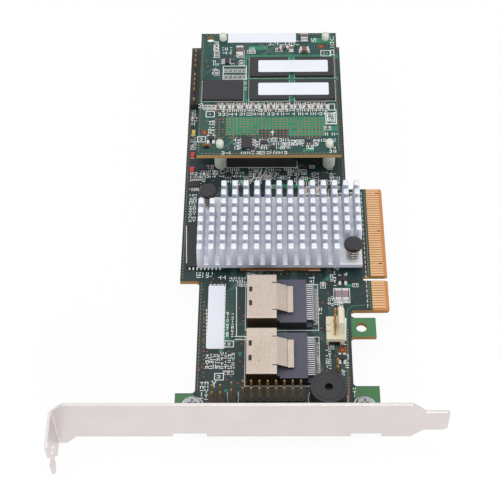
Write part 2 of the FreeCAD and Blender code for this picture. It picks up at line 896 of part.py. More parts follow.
def make_sas_socket(name, y):
    half = cage_width / 2
    outer = [
        (y - half, 0, 0),
        (y + half, 0, 0),
        (y + half, cage_height, 0.5),
        (y - half, cage_height, 0.5),
    ]
    inner_half = half - cage_wall
    inner = [
        (y - inner_half, cage_wall, 0),
        (y + inner_half, cage_wall, 0),
        (y + inner_half, cage_height - cage_wall, 0.2),
        (y - inner_half, cage_height - cage_wall, 0.2),
    ]
    cage = profile_along_x(outer, cage_left_x, cage_right_x)
    cage = cage.cut(profile_along_x(inner, cage_left_x - 1, cage_right_x + 1))
    roof_z = cage_height - cage_wall
    tongue_slope = (cage_height - tongue_end_z) / (tongue_end_x - cage_right_x)
    tongue_mid_x = cage_right_x + (tongue_end_x - cage_right_x) * 0.6
    tongue_mid_z = cage_height - tongue_slope * (tongue_mid_x - cage_right_x)
    tongue_profile = [
        (cage_right_x, cage_height, 0),
        (tongue_mid_x, tongue_mid_z - 0.3, 0),
        (tongue_mid_x + 0.3, tongue_end_z, 0),
        (tongue_end_x, tongue_end_z, 0),
        (tongue_end_x, tongue_end_z - cage_wall, 0),
        (tongue_mid_x, tongue_end_z - cage_wall, 0),
        (tongue_mid_x - 0.3, tongue_mid_z - 0.3 - cage_wall, 0),
        (cage_right_x, roof_z, 0),
    ]
    tongue = profile_along_y(tongue_profile, y - tongue_width / 2, y + tongue_width / 2)
    cuts = []
    for side in (-1, 1):
        slit_y = y + side * (tongue_width / 2 + 0.15)
        cuts.append(block(cage_right_x - tongue_slit, slit_y - 0.15, roof_z - 0.1,
                          cage_right_x + 1, slit_y + 0.15, cage_height + 0.1))
        hole_y = y + side * cage_hole_offset
        cuts.append(slab(cage_hole_x, hole_y, roof_z - 0.1, 1.0, 2.0, cage_wall + 0.2))
    rib = slab(cage_rib_x, y, roof_z, cage_rib_width, cage_rib_length, cage_wall + cage_rib_rise)
    cage = joined([cage, tongue, rib]).cut(cuts)
    save(name + "_cage", [cage])

    body = block(cage_right_x, y - housing_width / 2, 0, housing_right_x, y + housing_width / 2,
                 housing_height)
    nose_top_z = nose_slot_z + nose_slot_height + 0.9
    nose = block(nose_left_x, y - nose_width / 2, cage_wall, cage_right_x, y + nose_width / 2, nose_top_z)
    foot = block(housing_right_x, y - housing_width / 2, 0, housing_right_x + 1.7,
                 y - housing_width / 2 + 1.6, 0.9)
    slot_z = nose_slot_z + cage_wall / 2
    slot = block(nose_left_x - 1, y - nose_slot_width / 2, slot_z, housing_right_x - nose_slot_end_wall,
                 y + nose_slot_width / 2, slot_z + nose_slot_height)
    cove = block(cage_right_x - 0.05, y - housing_width / 2 - 1, -0.1,
                 cage_right_x + 0.9, y - nose_width / 2, housing_height + 0.1)
    save(name + "_housing", [joined([body, nose, foot]).cut([slot, cove])])

    contacts = []
    thick = contact_thickness
    for index in range(contact_count):
        offset = (index - (contact_count - 1) / 2) * contact_pitch
        path = [
            (housing_right_x, contact_top_z, 0),
            (contact_bend_x, contact_top_z, 0),
            (contact_foot_x, thick, 0),
            (contact_foot_x, 0, 0),
            (contact_bend_x - 0.2, contact_top_z - thick, 0),
            (housing_right_x, contact_top_z - thick, 0),
        ]
        contacts.append(profile_along_y(path, y + offset - contact_width / 2,
                                        y + offset + contact_width / 2))
    save(name + "_contacts", contacts)


def make_locking_header():
    body = block(lock_left_x, lock_near_y, 0, lock_right_x, lock_far_y, lock_height)
    wall = [
        (latch_left_x, lock_height - 0.1, 0),
        (lock_right_x, lock_height - 0.1, 0),
        (lock_right_x, latch_top_z - 1.6, 0),
        (lock_right_x - 0.5, latch_top_z, 0.3),
        (latch_left_x + 0.1, latch_top_z, 0.2),
        (latch_left_x - 0.2, latch_top_z - 1.0, 0),
        (latch_left_x + 0.3, latch_top_z - 1.4, 0),
    ]
    latch = profile_along_y(wall, latch_near_y, latch_far_y)
    grooves = []
    for px, py in lock_pin_places:
        for side in (-0.5, 0.5):
            if abs(py + side * pitch - lock_pin_y) < pitch:
                grooves.append(slab(lock_left_x, py + side * pitch, lock_height - lock_groove_depth,
                                    lock_groove_length, lock_groove_width, 1.0))
    hole = pin_size + 2 * pin_clearance
    holes = [slab(x, y, -0.1, hole, hole, lock_height + 0.2) for x, y in lock_pin_places]
    foot_cut = block(lock_left_x + 0.8, lock_near_y - 1, -0.1, lock_right_x - 0.8, lock_near_y + 0.5, 0.8)
    save("locking_header_body", [joined([body, latch]).cut(grooves + holes + [foot_cut])])
    save("locking_header_pins", [square_pin(x, y, lock_pin_tip_z) for x, y in lock_pin_places])


def square_pin(x, y, tip_z):
    """A square post with a tapered tip, soldered through the board."""
    tail_z = board_bottom_z - pin_tail
    half = pin_size / 2

    def side(middle):
        return [
            (middle - half, tail_z, 0),
            (middle + half, tail_z, 0),
            (middle + half, tip_z - pin_point, 0),
            (middle + half / 2, tip_z, 0),
            (middle - half / 2, tip_z, 0),
            (middle - half, tip_z - pin_point, 0),
        ]

    front = profile_along_y(side(x), y - half, y + half)
    return front.common(profile_along_x(side(y), x - half, x + half))


def header_body(x, y, columns, rows):
    """A strip of square cells with a small notch where two cells meet."""
    half_x = columns * pitch / 2
    half_y = rows * pitch / 2
    corners = []
    for side in (-1, 1):
        for column in range(columns):
            left = -half_x + column * pitch
            run = (left, left + pitch) if side < 0 else (-left, -left - pitch)
            step = header_notch if side < 0 else -header_notch
            edge = side * half_y
            corners.append((x + run[0], y + edge - side * header_notch, 0))
            corners.append((x + run[0] + step, y + edge, 0))
            corners.append((x + run[1] - step, y + edge, 0))
        corners.append((x - side * half_x, y + side * (half_y - header_notch), 0))
    body = plate(corners, 0, header_height)
    hole = pin_size + 2 * pin_clearance
    holes = [slab(px, py, -0.1, hole, hole, header_height + 0.2)
             for px, py in header_places(x, y, columns, rows)]
    return body.cut(holes)


def make_headers():
    save("pin_header_bodies", [header_body(*header_block) for header_block in header_blocks])
    save("pin_header_pins", [square_pin(x, y, pin_tip_z) for x, y in header_pin_places])
    body = block(edge_header_left_x, edge_header_near_y, 0, edge_header_left_x + edge_header_width,
                 edge_header_near_y + edge_header_length, header_height)
    hole = pin_size + 2 * pin_clearance
    holes = [slab(x, y, -0.1, hole, hole, header_height + 0.2) for x, y in edge_pin_places]
    save("edge_header_body", [body.cut(holes)])
    save("edge_header_pins", [square_pin(x, y, edge_header_tip_z) for x, y in edge_pin_places])


def make_buzzer():
    hole_z = buzzer_height - buzzer_hole_depth
    shape = [
        (0, 0, 0),
        (buzzer_r, 0, 0),
        (buzzer_r, buzzer_height - buzzer_chamfer, 0),
        (buzzer_r - buzzer_chamfer, buzzer_height, 0),
        (buzzer_hole_r, buzzer_height, 0),
        (buzzer_hole_r, hole_z, 0),
        (0, hole_z, 0),
    ]
    body = turned(shape, buzzer_x, buzzer_y)
    mark_y = buzzer_y - buzzer_r * 0.62
    mark_z = buzzer_height - buzzer_mark_rise
    marks = [
        slab(buzzer_x, mark_y, mark_z, buzzer_mark, buzzer_mark_width, 2 * buzzer_mark_rise),
        slab(buzzer_x, mark_y, mark_z, buzzer_mark_width, buzzer_mark, 2 * buzzer_mark_rise),
    ]
    save("buzzer", [joined([body] + marks)])
    tail_z = board_bottom_z - pin_tail
    save("buzzer_pins", [slab(x, y, tail_z, pin_size, pin_size, -tail_z) for x, y in buzzer_pin_places])


def make_flash_chip():
    x = flash_left_x + flash_width / 2
    y = flash_near_y + flash_length / 2
    chip = leaded_chip(x, y, 0, flash_width, flash_length, flash_height,
                       flash_lead_count, flash_lead_pitch, True)
    save_leaded("flash_chip", "flash_chip_leads", [chip])


make_main_board()
make_edge_contacts()
make_bracket()
make_screws()
make_cache_board()
make_standoffs()
make_board_connector()
make_memory_chips()
make_small_chips()
make_small_parts()
make_labels()
make_heatsink()
make_package()
make_push_pins()
for socket_name, socket_y in zip(("near_sas", "far_sas"), sas_ys):
    make_sas_socket(socket_name, socket_y)
make_locking_header()
make_headers()
make_buzzer()
make_flash_chip()
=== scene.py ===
import math
import random

import bmesh
import bpy
from mathutils import Matrix, Vector
from mathutils.bvhtree import BVHTree


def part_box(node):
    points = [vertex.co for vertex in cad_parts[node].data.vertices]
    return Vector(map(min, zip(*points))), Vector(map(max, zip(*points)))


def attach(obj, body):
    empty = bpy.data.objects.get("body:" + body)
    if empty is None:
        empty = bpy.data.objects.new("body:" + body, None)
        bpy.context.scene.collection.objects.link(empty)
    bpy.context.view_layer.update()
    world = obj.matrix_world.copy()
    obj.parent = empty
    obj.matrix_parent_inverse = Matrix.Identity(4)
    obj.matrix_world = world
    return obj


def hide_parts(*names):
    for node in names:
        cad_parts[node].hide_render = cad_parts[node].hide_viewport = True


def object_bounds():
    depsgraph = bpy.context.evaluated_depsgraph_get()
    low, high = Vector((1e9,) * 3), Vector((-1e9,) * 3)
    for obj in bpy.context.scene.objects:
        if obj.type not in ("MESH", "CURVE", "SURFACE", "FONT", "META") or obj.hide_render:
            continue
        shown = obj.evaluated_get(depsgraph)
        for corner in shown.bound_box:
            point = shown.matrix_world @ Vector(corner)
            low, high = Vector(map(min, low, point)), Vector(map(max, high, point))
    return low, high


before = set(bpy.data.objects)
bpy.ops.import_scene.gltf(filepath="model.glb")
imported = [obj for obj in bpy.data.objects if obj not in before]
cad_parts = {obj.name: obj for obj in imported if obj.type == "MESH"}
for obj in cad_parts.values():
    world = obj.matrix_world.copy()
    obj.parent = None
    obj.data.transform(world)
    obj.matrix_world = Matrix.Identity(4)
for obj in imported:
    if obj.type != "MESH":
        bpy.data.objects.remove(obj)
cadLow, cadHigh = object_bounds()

mm = 0.001
scene = bpy.context.scene
scene.view_settings.view_transform = "Standard"


def linked(name, data):
    thing = bpy.data.objects.new(name, data)
    scene.collection.objects.link(thing)
    return thing


def tint(red, green, blue):
    # a colour as it looks on a screen, 0 to 255, turned into the linear values that shaders take
    parts = [c / 255 for c in (red, green, blue)]
    return [c / 12.92 if c <= 0.04045 else ((c + 0.055) / 1.055) ** 2.4 for c in parts] + [1]


def feed(tree, node, inputs):
    # each input takes a link from another node, or a plain value
    for key, value in inputs.items():
        if isinstance(value, bpy.types.NodeSocket):
            tree.links.new(value, node.inputs[key])
        else:
            node.inputs[key].default_value = value


def addNode(tree, kind, inputs=None, **settings):
    node = tree.nodes.new(kind)
    for key, value in settings.items():
        setattr(node, key, value)
    feed(tree, node, inputs or {})
    return node


def newTree(name, kind, inputs, outputs):
    # a tree with named sockets: an input is given by its usual value, or by its kind as a word
    tree = bpy.data.node_groups.new(name, kind)
    kinds = {float: "Float", int: "Int", tuple: "Vector", list: "Color"}
    for socketName, value in inputs.items():
        isWord = isinstance(value, str)
        word = value if isWord else kinds[type(value)]
        socket = tree.interface.new_socket(socketName, in_out="INPUT", socket_type="NodeSocket" + word)
        if not isWord:
            socket.default_value = value
    for socketName, word in outputs.items():
        tree.interface.new_socket(socketName, in_out="OUTPUT", socket_type="NodeSocket" + word)
    return tree, tree.nodes.new("NodeGroupInput").outputs, tree.nodes.new("NodeGroupOutput")


def useGroup(tree, group, inputs=None):
    return addNode(tree, "ShaderNodeGroup", inputs, node_tree=group).outputs


def mixColours(tree, factor, first, second, blend="MIX"):
    # a mix node's sockets for colours are 6 and 7, and 2 among its outputs
    mix = addNode(tree, "ShaderNodeMix", {0: factor, 6: first, 7: second}, data_type="RGBA", blend_type=blend)
    return mix.outputs[2]


def mathNode(tree, operation, *values, clamp=False):
    inputs = dict(enumerate(values))
    return addNode(tree, "ShaderNodeMath", inputs, operation=operation, use_clamp=clamp).outputs[0]


def vectorNode(tree, operation, *values, **named):
    node = addNode(tree, "ShaderNodeVectorMath", {**dict(enumerate(values)), **named}, operation=operation)
    return node.outputs["Value" if operation == "DOT_PRODUCT" else "Vector"]


def axesOf(tree, vector):
    return addNode(tree, "ShaderNodeSeparateXYZ", {"Vector": vector}).outputs


def combine(tree, **axes):
    return addNode(tree, "ShaderNodeCombineXYZ", axes).outputs[0]


def placeInMillimetres(tree):
    coordinates = tree.nodes.new("ShaderNodeTexCoord")
    return vectorNode(tree, "SCALE", coordinates.outputs["Object"], Scale=1 / mm)


def faceNormal(tree):
    return tree.nodes.new("ShaderNodeNewGeometry").outputs["Normal"]


def noise(tree, place, scale, detail):
    node = addNode(tree, "ShaderNodeTexNoise", {"Vector": place, "Scale": scale, "Detail": detail})
    return node.outputs["Fac"]


def waves(tree, place, direction, scale, distortion, detail):
    return addNode(tree, "ShaderNodeTexWave", {
        "Vector": place, "Scale": scale, "Distortion": distortion, "Detail": detail},
        bands_direction=direction).outputs["Fac"]


# Effects that several finishes share
def makeGrainGroup():
    group, given, end = newTree("surfaceGrain", "ShaderNodeTree", {
        "Scale": 2.0, "Detail": 3.0, "Stretch": (1, 1, 1)}, {"Value": "Float", "Broad": "Float"})
    place = vectorNode(group, "MULTIPLY", placeInMillimetres(group), given["Stretch"])
    broadScale, broadDetail = 0.11, 2
    feed(group, end, {"Value": noise(group, place, given["Scale"], given["Detail"]),
                      "Broad": noise(group, place, broadScale, broadDetail)})
    return group


def makeEdgeGroup():
    # soft edges: a rounded normal, and a mask where it leaves the flat one
    group, given, end = newTree("edgeWearAndHighlight", "ShaderNodeTree", {"Radius": 0.1, "Breaks": 0.4},
                                {"Mask": "Float", "Normal": "Vector"})
    sharpening, breakScale, breakDetail = 5, 1.3, 4
    radius = mathNode(group, "MULTIPLY", given["Radius"], mm)
    rounded = addNode(group, "ShaderNodeBevel", {"Radius": radius}, samples=4).outputs["Normal"]
    same = vectorNode(group, "DOT_PRODUCT", rounded, faceNormal(group))
    away = mathNode(group, "SUBTRACT", 1, same, clamp=True)
    away = mathNode(group, "MULTIPLY", away, sharpening, clamp=True)
    patches = noise(group, placeInMillimetres(group), breakScale, breakDetail)
    broken = mathNode(group, "MULTIPLY", patches, given["Breaks"])
    feed(group, end, {"Mask": mathNode(group, "SUBTRACT", away, broken, clamp=True), "Normal": rounded})
    return group


def makeZoneGroup():
    # 1 inside a box given by two corners in millimetres, 0 outside, with a soft border
    group, given, end = newTree("zoneMask", "ShaderNodeTree", {
        "Low": (0, 0, 0), "High": (1, 1, 1), "Soft": 0.1}, {"Mask": "Float"})
    place = placeInMillimetres(group)
    sharp = mathNode(group, "DIVIDE", 1, given["Soft"])
    sides = []
    for first, second in ((place, given["Low"]), (given["High"], place)):
        inward = vectorNode(group, "SCALE", vectorNode(group, "SUBTRACT", first, second), Scale=sharp)
        inward = vectorNode(group, "MAXIMUM", inward, (0, 0, 0))
        sides.append(vectorNode(group, "MINIMUM", inward, (1, 1, 1)))
    both = axesOf(group, vectorNode(group, "MULTIPLY", *sides))
    mask = mathNode(group, "MULTIPLY", both["X"], both["Y"])
    feed(group, end, {"Mask": mathNode(group, "MULTIPLY", mask, both["Z"])})
    return group


# Waves as scale, distortion and detail, the cloud as scale and detail
laminateLook = {
    "scatter": 0.8, "fieldShare": 0.5, "cloud": (0.6, 4), "cloudShare": 0.5, "strands": (0.55, 0.6, 1),
    "layers": (1.1, 0.5, 2), "layerShade": (0.62, 0.55, 0.5, 1), "wallBelow": 0.4,
}


def makeLaminateGroup(look):
    # glass weave under the mask, copper areas as soft darker and lighter fields, bare layers at the edges
    black = [0, 0, 0, 1]
    group, given, end = newTree("glassLaminate", "ShaderNodeTree", {
        "Mask Colour": black, "Copper Colour": black, "Edge Colour": black, "Field Scale": 0.2},
        {"Colour": "Color", "Height": "Float", "Edge": "Float"})
    place = placeInMillimetres(group)
    fields = addNode(group, "ShaderNodeTexVoronoi", {
        "Vector": place, "Scale": given["Field Scale"], "Randomness": look["scatter"]}, distance="CHEBYCHEV")
    shade = addNode(group, "ShaderNodeSeparateColor", {"Color": fields.outputs["Color"]})
    amount = mathNode(group, "MULTIPLY", shade.outputs["Red"], look["fieldShare"])
    cloud = noise(group, place, *look["cloud"])
    amount = mathNode(group, "MULTIPLY_ADD", cloud, look["cloudShare"], amount, clamp=True)
    face = mixColours(group, amount, given["Mask Colour"], given["Copper Colour"])
    strands = [waves(group, place, direction, *look["strands"]) for direction in ("X", "Y")]
    upright = mathNode(group, "ABSOLUTE", axesOf(group, faceNormal(group))["Z"])
    side = mathNode(group, "LESS_THAN", upright, look["wallBelow"])
    darker = mixColours(group, 1.0, given["Edge Colour"], look["layerShade"], "MULTIPLY")
    layers = waves(group, place, "Z", *look["layers"])
    edge = mixColours(group, layers, given["Edge Colour"], darker)
    feed(group, end, {"Colour": mixColours(group, side, face, edge),
                      "Height": mathNode(group, "MULTIPLY", *strands), "Edge": side})
    return group


grainGroup = makeGrainGroup()
edgeGroup = makeEdgeGroup()
zoneGroup = makeZoneGroup()
laminateGroup = makeLaminateGroup(laminateLook)


def newMaterial(name):
    material = bpy.data.materials.new(name)
    material.use_nodes = True
    tree = material.node_tree
    return material, tree, tree.nodes["Principled BSDF"]


def roughFrom(tree, grain, low, high):
    # the grain's middle range gives the roughness between two values
    return addNode(tree, "ShaderNodeMapRange", {
        "Value": grain, "From Min": 0.3, "From Max": 0.7, "To Min": low, "To Max": high}).outputs["Result"]


def finishMaterial(name, look):
    # two shades clouded together, lighter edges for wear and painted highlight, and a fine grain
    material, tree, shader = newMaterial(name)
    grain = useGroup(tree, grainGroup, {"Scale": look["grain"], "Stretch": look.get("stretch", (1, 1, 1))})
    edges = useGroup(tree, edgeGroup, {"Radius": look["edgeRadius"], "Breaks": look["breaks"]})
    dark, light, edge = (tint(*look[key]) for key in ("dark", "light", "edge"))
    colour = mixColours(tree, grain["Broad"], dark, light)
    if "speckle" in look:
        spots = mathNode(tree, "MULTIPLY", mathNode(tree, "SUBTRACT", grain["Value"], 0.5), look["speckle"])
        colour = mixColours(tree, mathNode(tree, "MAXIMUM", spots, 0), colour, edge)
        spots = mathNode(tree, "MULTIPLY", spots, -1)
        colour = mixColours(tree, mathNode(tree, "MAXIMUM", spots, 0), colour, dark)
    # lighter edges: wear and painted highlight
    colour = mixColours(tree, edges["Mask"], colour, edge)
    bump = addNode(tree, "ShaderNodeBump", {
        "Strength": look["bump"], "Distance": 0.05 * mm, "Height": grain["Value"], "Normal": edges["Normal"]})
    feed(tree, shader, {
        "Base Color": colour, "Roughness": roughFrom(tree, grain["Value"], *look["rough"]),
        "Normal": bump.outputs["Normal"], "Metallic": look.get("metallic", 0),
        "Specular IOR Level": look.get("specular", 0.5)})
    return material, tree, shader, colour


def zone(tree, low, high, soft):
    return useGroup(tree, zoneGroup, {"Low": low, "High": high, "Soft": soft})["Mask"]


# The main board's solder mask: a dark bluish green, plain and brighter on the wings and the hole tab, bare
# laminate along the edge connector and darker between its fingers. Each zone: shade, softness, areas in mm
boardLook = {
    "mask": (26, 44, 46), "copper": (46, 68, 66), "edge": (176, 136, 78), "fields": 0.16,
    "rough": (0.26, 0.42), "weave": 0.12, "specular": 0.35,
    "zones": [
        ((74, 126, 82), 0.3, [(-70, 1, -62.6, 13.4), (-13, 1, -4, 15.9), (-12.9, 34, -4, 42)]),
        ((202, 136, 80), 0.3, [(-5.6, 44, 2, 98)]),
        ((140, 80, 42), 0.1, [(-5.6, 46.3, -1.25, 56.8), (-5.6, 58.8, -1.25, 96.6)]),
    ],
}
cacheLook = {
    "mask": (22, 58, 56), "copper": (40, 84, 78), "edge": (190, 154, 100), "fields": 0.22,
    "rough": (0.24, 0.4), "weave": 0.12, "specular": 0.35, "zones": [],
}
packageLook = {
    "mask": (44, 84, 62), "copper": (60, 104, 78), "edge": (196, 112, 60), "fields": 0.3,
    "rough": (0.3, 0.44), "weave": 0.1, "specular": 0.4, "zones": [],
}


def makeBoardMask(name, look):
    material, tree, shader = newMaterial(name)
    laminate = useGroup(tree, laminateGroup, {
        "Mask Colour": tint(*look["mask"]), "Copper Colour": tint(*look["copper"]),
        "Edge Colour": tint(*look["edge"]), "Field Scale": look["fields"]})
    grain = useGroup(tree, grainGroup, {"Scale": 1.7, "Detail": 4})
    colour = laminate["Colour"]
    top = mathNode(tree, "SUBTRACT", 1, laminate["Edge"])
    below, above, edgeRougher = -4, 2, 0.4
    for shade, soft, areas in look["zones"]:
        inside = 0
        for x0, y0, x1, y1 in areas:
            inside = mathNode(tree, "MAXIMUM", inside, zone(tree, (x0, y0, below), (x1, y1, above), soft))
        colour = mixColours(tree, mathNode(tree, "MULTIPLY", inside, top), colour, tint(*shade))
    rough = roughFrom(tree, grain["Value"], *look["rough"])
    bump = addNode(tree, "ShaderNodeBump", {
        "Strength": look["weave"], "Distance": 0.04 * mm, "Height": laminate["Height"]})
    feed(tree, shader, {
        "Base Color": colour, "Specular IOR Level": look["specular"], "Normal": bump.outputs["Normal"],
        "Roughness": mathNode(tree, "MULTIPLY_ADD", laminate["Edge"], edgeRougher, rough, clamp=True)})
    return material


# Plain finishes, colours as they look on a screen: dark, light and edge shade, edge radius, how broken the
# lighter edge is, grain, the range of roughness and bump. The lighter edge shade is wear and painted highlight
finishKeys = ("dark", "light", "edge", "edgeRadius", "breaks", "grain", "rough", "bump")
finishes = {
    "fingerGold": ((226, 179, 131), (242, 198, 151), (250, 216, 174), 0.05, 0.3, 3, (0.34, 0.48), 0.15),
    "pinGold": ((176, 142, 84), (214, 176, 112), (248, 228, 180), 0.1, 0.3, 2, (0.28, 0.42), 0.1),
    "bracketSteel": ((212, 204, 202), (222, 215, 213), (240, 238, 237), 0.2, 0.15, 0.5, (0.3, 0.4), 0.03),
    "screwSteel": ((150, 150, 152), (196, 196, 198), (228, 228, 228), 0.15, 0.2, 2.5, (0.22, 0.36), 0.15),
    "standoffNylon": ((198, 203, 190), (220, 224, 210), (235, 238, 226), 0.2, 0.3, 0.8, (0.34, 0.5), 0.1),
    "connectorPlastic": ((30, 28, 32), (46, 43, 48), (88, 84, 90), 0.12, 0.4, 2.2, (0.4, 0.56), 0.25),
    # near black, painted shade on the push pins' sides and shafts and between header posts
    "paintedShadeBlack": ((18, 16, 18), (28, 26, 28), (60, 58, 62), 0.08, 0.4, 2.2, (0.45, 0.6), 0.15),
    "chipEpoxy": ((34, 33, 38), (48, 46, 52), (82, 80, 86), 0.12, 0.5, 4.5, (0.5, 0.66), 0.35),
    "resistorBrown": ((88, 74, 68), (124, 100, 88), (150, 126, 110), 0.08, 0.4, 3, (0.4, 0.55), 0.2),
    "printWhite": ((226, 236, 232), (246, 250, 248), (252, 254, 253), 0.03, 0.6, 3, (0.5, 0.65), 0.1),
    "openCopper": ((44, 118, 90), (58, 138, 106), (78, 150, 120), 0.03, 0.6, 1.5, (0.32, 0.44), 0.1),
    "trackGreen": ((58, 90, 82), (72, 106, 94), (84, 118, 106), 0.03, 0.6, 2, (0.32, 0.44), 0.1),
    "viaCopper": ((196, 104, 64), (222, 124, 82), (230, 146, 106), 0.03, 0.6, 4, (0.4, 0.54), 0.1),
    "bareCopper": ((112, 58, 38), (140, 78, 52), (170, 104, 76), 0.04, 0.5, 3, (0.3, 0.44), 0.15),
    "packCopper": ((120, 80, 66), (150, 104, 88), (170, 126, 108), 0.03, 0.5, 3, (0.4, 0.54), 0.1),
    "holeShade": ((34, 40, 38), (48, 54, 50), (56, 60, 56), 0.03, 0.6, 3, (0.6, 0.75), 0.1),
    "capacitorBrown": ((104, 78, 66), (134, 102, 86), (160, 130, 112), 0.1, 0.4, 3, (0.36, 0.5), 0.2),
    "capacitorTan": ((196, 172, 160), (222, 202, 192), (236, 222, 214), 0.12, 0.4, 3, (0.38, 0.52), 0.2),
    "capacitorMauve": ((142, 118, 122), (168, 142, 146), (192, 170, 172), 0.12, 0.4, 3, (0.38, 0.52), 0.2),
    "labelPaper": ((232, 235, 245), (240, 243, 251), (248, 249, 253), 0.05, 0.5, 5, (0.5, 0.65), 0.15),
    "finAluminium": ((224, 226, 234), (236, 238, 245), (246, 247, 251), 0.22, 0.2, 1.6, (0.4, 0.54), 0.2),
    # the base, a lighter copy of the fins' aluminium: painted light on the channel floors between the fins
    "sinkBasePaintedLight": ((234, 235, 241), (243, 244, 249), (248, 249, 252), 0.2, 0.2, 1.4, (0.5, 0.62), 0.15),
    "thermalPad": ((120, 122, 126), (146, 148, 152), (160, 162, 164), 0.1, 0.4, 2, (0.6, 0.75), 0.3),
    "springSteel": ((182, 178, 170), (210, 206, 198), (238, 236, 230), 0.08, 0.2, 2, (0.24, 0.36), 0.05),
    "cageNickel": ((182, 167, 154), (207, 192, 181), (232, 220, 208), 0.15, 0.2, 2.6, (0.36, 0.52), 0.25),
    "housingPlastic": ((70, 70, 86), (88, 88, 104), (124, 124, 140), 0.12, 0.4, 2.4, (0.42, 0.58), 0.25),
    "leadTin": ((206, 204, 207), (228, 226, 228), (244, 243, 244), 0.06, 0.2, 3, (0.3, 0.46), 0.15),
    "ivoryPlastic": ((224, 213, 188), (238, 229, 206), (250, 244, 226), 0.15, 0.3, 1.6, (0.34, 0.48), 0.15),
}
# What only some of them have. A side shade is painted shade: it darkens the walls that face along Y,
# the cages' to a dark brown, the heatsink's fins and base to grey and the socket housings' to near black
finishExtras = {
    "fingerGold": {"metallic": 0.5}, "pinGold": {"metallic": 0.55}, "bracketSteel": {"metallic": 0.8},
    "screwSteel": {"metallic": 1}, "openCopper": {"specular": 0.35}, "trackGreen": {"specular": 0.35},
    "viaCopper": {"metallic": 0.3}, "bareCopper": {"metallic": 0.5}, "leadTin": {"metallic": 0.5},
    "springSteel": {"metallic": 0.85},
    "finAluminium": {"metallic": 0.45, "stretch": (1, 0.2, 1), "side": (206, 211, 224)},
    "sinkBasePaintedLight": {"metallic": 0.2, "stretch": (0.3, 1, 1), "side": (186, 190, 202)},
    "cageNickel": {"metallic": 0.7, "speckle": 2.2, "side": (84, 70, 50)},
    "housingPlastic": {"side": (34, 33, 40)},
}


def makeFinish(name, look):
    wallAbove = 0.7
    if "side" not in look:
        return finishMaterial(name, look)[0]
    # a copy named with Sides, whose walls facing along Y take the side colour: painted shade
    material, tree, shader, plain = finishMaterial(name + "Sides", look)
    facing = mathNode(tree, "ABSOLUTE", axesOf(tree, faceNormal(tree))["Y"])
    paintedSideShadeMask = mathNode(tree, "GREATER_THAN", facing, wallAbove)
    feed(tree, shader, {"Base Color": mixColours(tree, paintedSideShadeMask, plain, tint(*look["side"]))})
    return material


# Lamp lenses: clear coloured resin, each lamp its own colour by its place along the board
lampLook = {
    "finish": ((224, 52, 50), (224, 52, 50), (255, 196, 190), 0.12, 0.3, 2, (0.12, 0.22), 0.05),
    "yellow": (236, 206, 96), "yellowArea": ((-70, 120, -1), (-60, 130, 3)), "soft": 0.2, "depth": 0.5,
    "glow": 0.15,
}


def makeLampLens(name, look):
    material, tree, shader, plain = finishMaterial(name, dict(zip(finishKeys, look["finish"])))
    far = zone(tree, *look["yellowArea"], look["soft"])
    feed(tree, shader, {
        "Base Color": mixColours(tree, far, plain, tint(*look["yellow"])),
        "Subsurface Weight": look["glow"], "Subsurface Scale": look["depth"] * mm})
    return material


materials = {}
for name, row in finishes.items():
    materials[name] = makeFinish(name, {**dict(zip(finishKeys, row)), **finishExtras.get(name, {})})
for name, look in (("boardMask", boardLook), ("cacheMask", cacheLook), ("packageLaminate", packageLook)):
    materials[name] = makeBoardMask(name, look)
materials["lampLens"] = makeLampLens("lampLens", lampLook)
print("materials built:", len(materials))

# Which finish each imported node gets
nodeFinishes = {
    "boardMask": ["main_board"],
    "cacheMask": ["cache_board"],
    "fingerGold": ["edge_contacts"],
    "pinGold": ["locking_header_pins", "pin_header_pins", "edge_header_pins"],
    "bracketSteel": ["slot_bracket"],
    "screwSteel": ["bracket_screws"],
    "standoffNylon": ["board_standoffs"],
    "connectorPlastic": ["stacking_socket", "stacking_plug", "push_pins", "pin_header_bodies",
                         "edge_header_body", "buzzer"],
    "chipEpoxy": ["memory_chips", "cache_control_chip", "cache_small_chips", "board_small_chips",
                  "flash_chip"],
    "resistorBrown": ["resistor_packs", "cache_capacitors"],
    "capacitorTan": ["board_capacitors"],
    "lampLens": ["indicator_lamps"],
    "labelPaper": ["cache_labels", "board_label"],
    "finAluminium": ["heatsink"],
    "packageLaminate": ["processor_package"],
    "thermalPad": ["thermal_pad"],
    "springSteel": ["push_pin_springs"],
    "cageNickel": ["near_sas_cage", "far_sas_cage"],
    "housingPlastic": ["near_sas_housing", "far_sas_housing"],
    "leadTin": ["near_sas_contacts", "far_sas_contacts", "buzzer_pins", "cache_chip_leads",
                "board_chip_leads", "flash_chip_leads"],
    "ivoryPlastic": ["locking_header_body"],
}

for finish, nodeNames in nodeFinishes.items():
    for nodeName in nodeNames:
        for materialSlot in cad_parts[nodeName].material_slots:
            materialSlot.material = materials[finish]

# Camera where the photograph was taken from, in the frame's own axes
cameraLook = {
    "place": (-37.517, -194.805, 340.96), "lens": 91.88, "sensor": 36,
    "pitchDown": 52.164, "yaw": -1.782, "roll": -1.614, "picture": 500,
}


def cameraAxes(look):
    pitch, yaw, roll = (math.radians(look[key]) for key in ("pitchDown", "yaw", "roll"))
    ahead = Vector((math.sin(yaw) * math.cos(pitch), math.cos(yaw) * math.cos(pitch), -math.sin(pitch)))
    level = Vector((math.cos(yaw), -math.sin(yaw), 0))
    upright = level.cross(ahead)
    right = level * math.cos(roll) + upright * math.sin(roll)
    up = upright * math.cos(roll) - level * math.sin(roll)
    return right, up, ahead


def makeCamera(look):
    right, up, ahead = cameraAxes(look)
    data = bpy.data.cameras.new("photoCamera")
    data.lens = look["lens"]
    data.sensor_width = look["sensor"]
    data.clip_start = 0.01
    data.clip_end = 20
    camera = linked("photoCamera", data)
    turn = Matrix((right, up, -ahead)).transposed().to_4x4()
    camera.matrix_world = Matrix.Translation(Vector(look["place"]) * mm) @ turn
    scene.camera = camera


makeCamera(cameraLook)

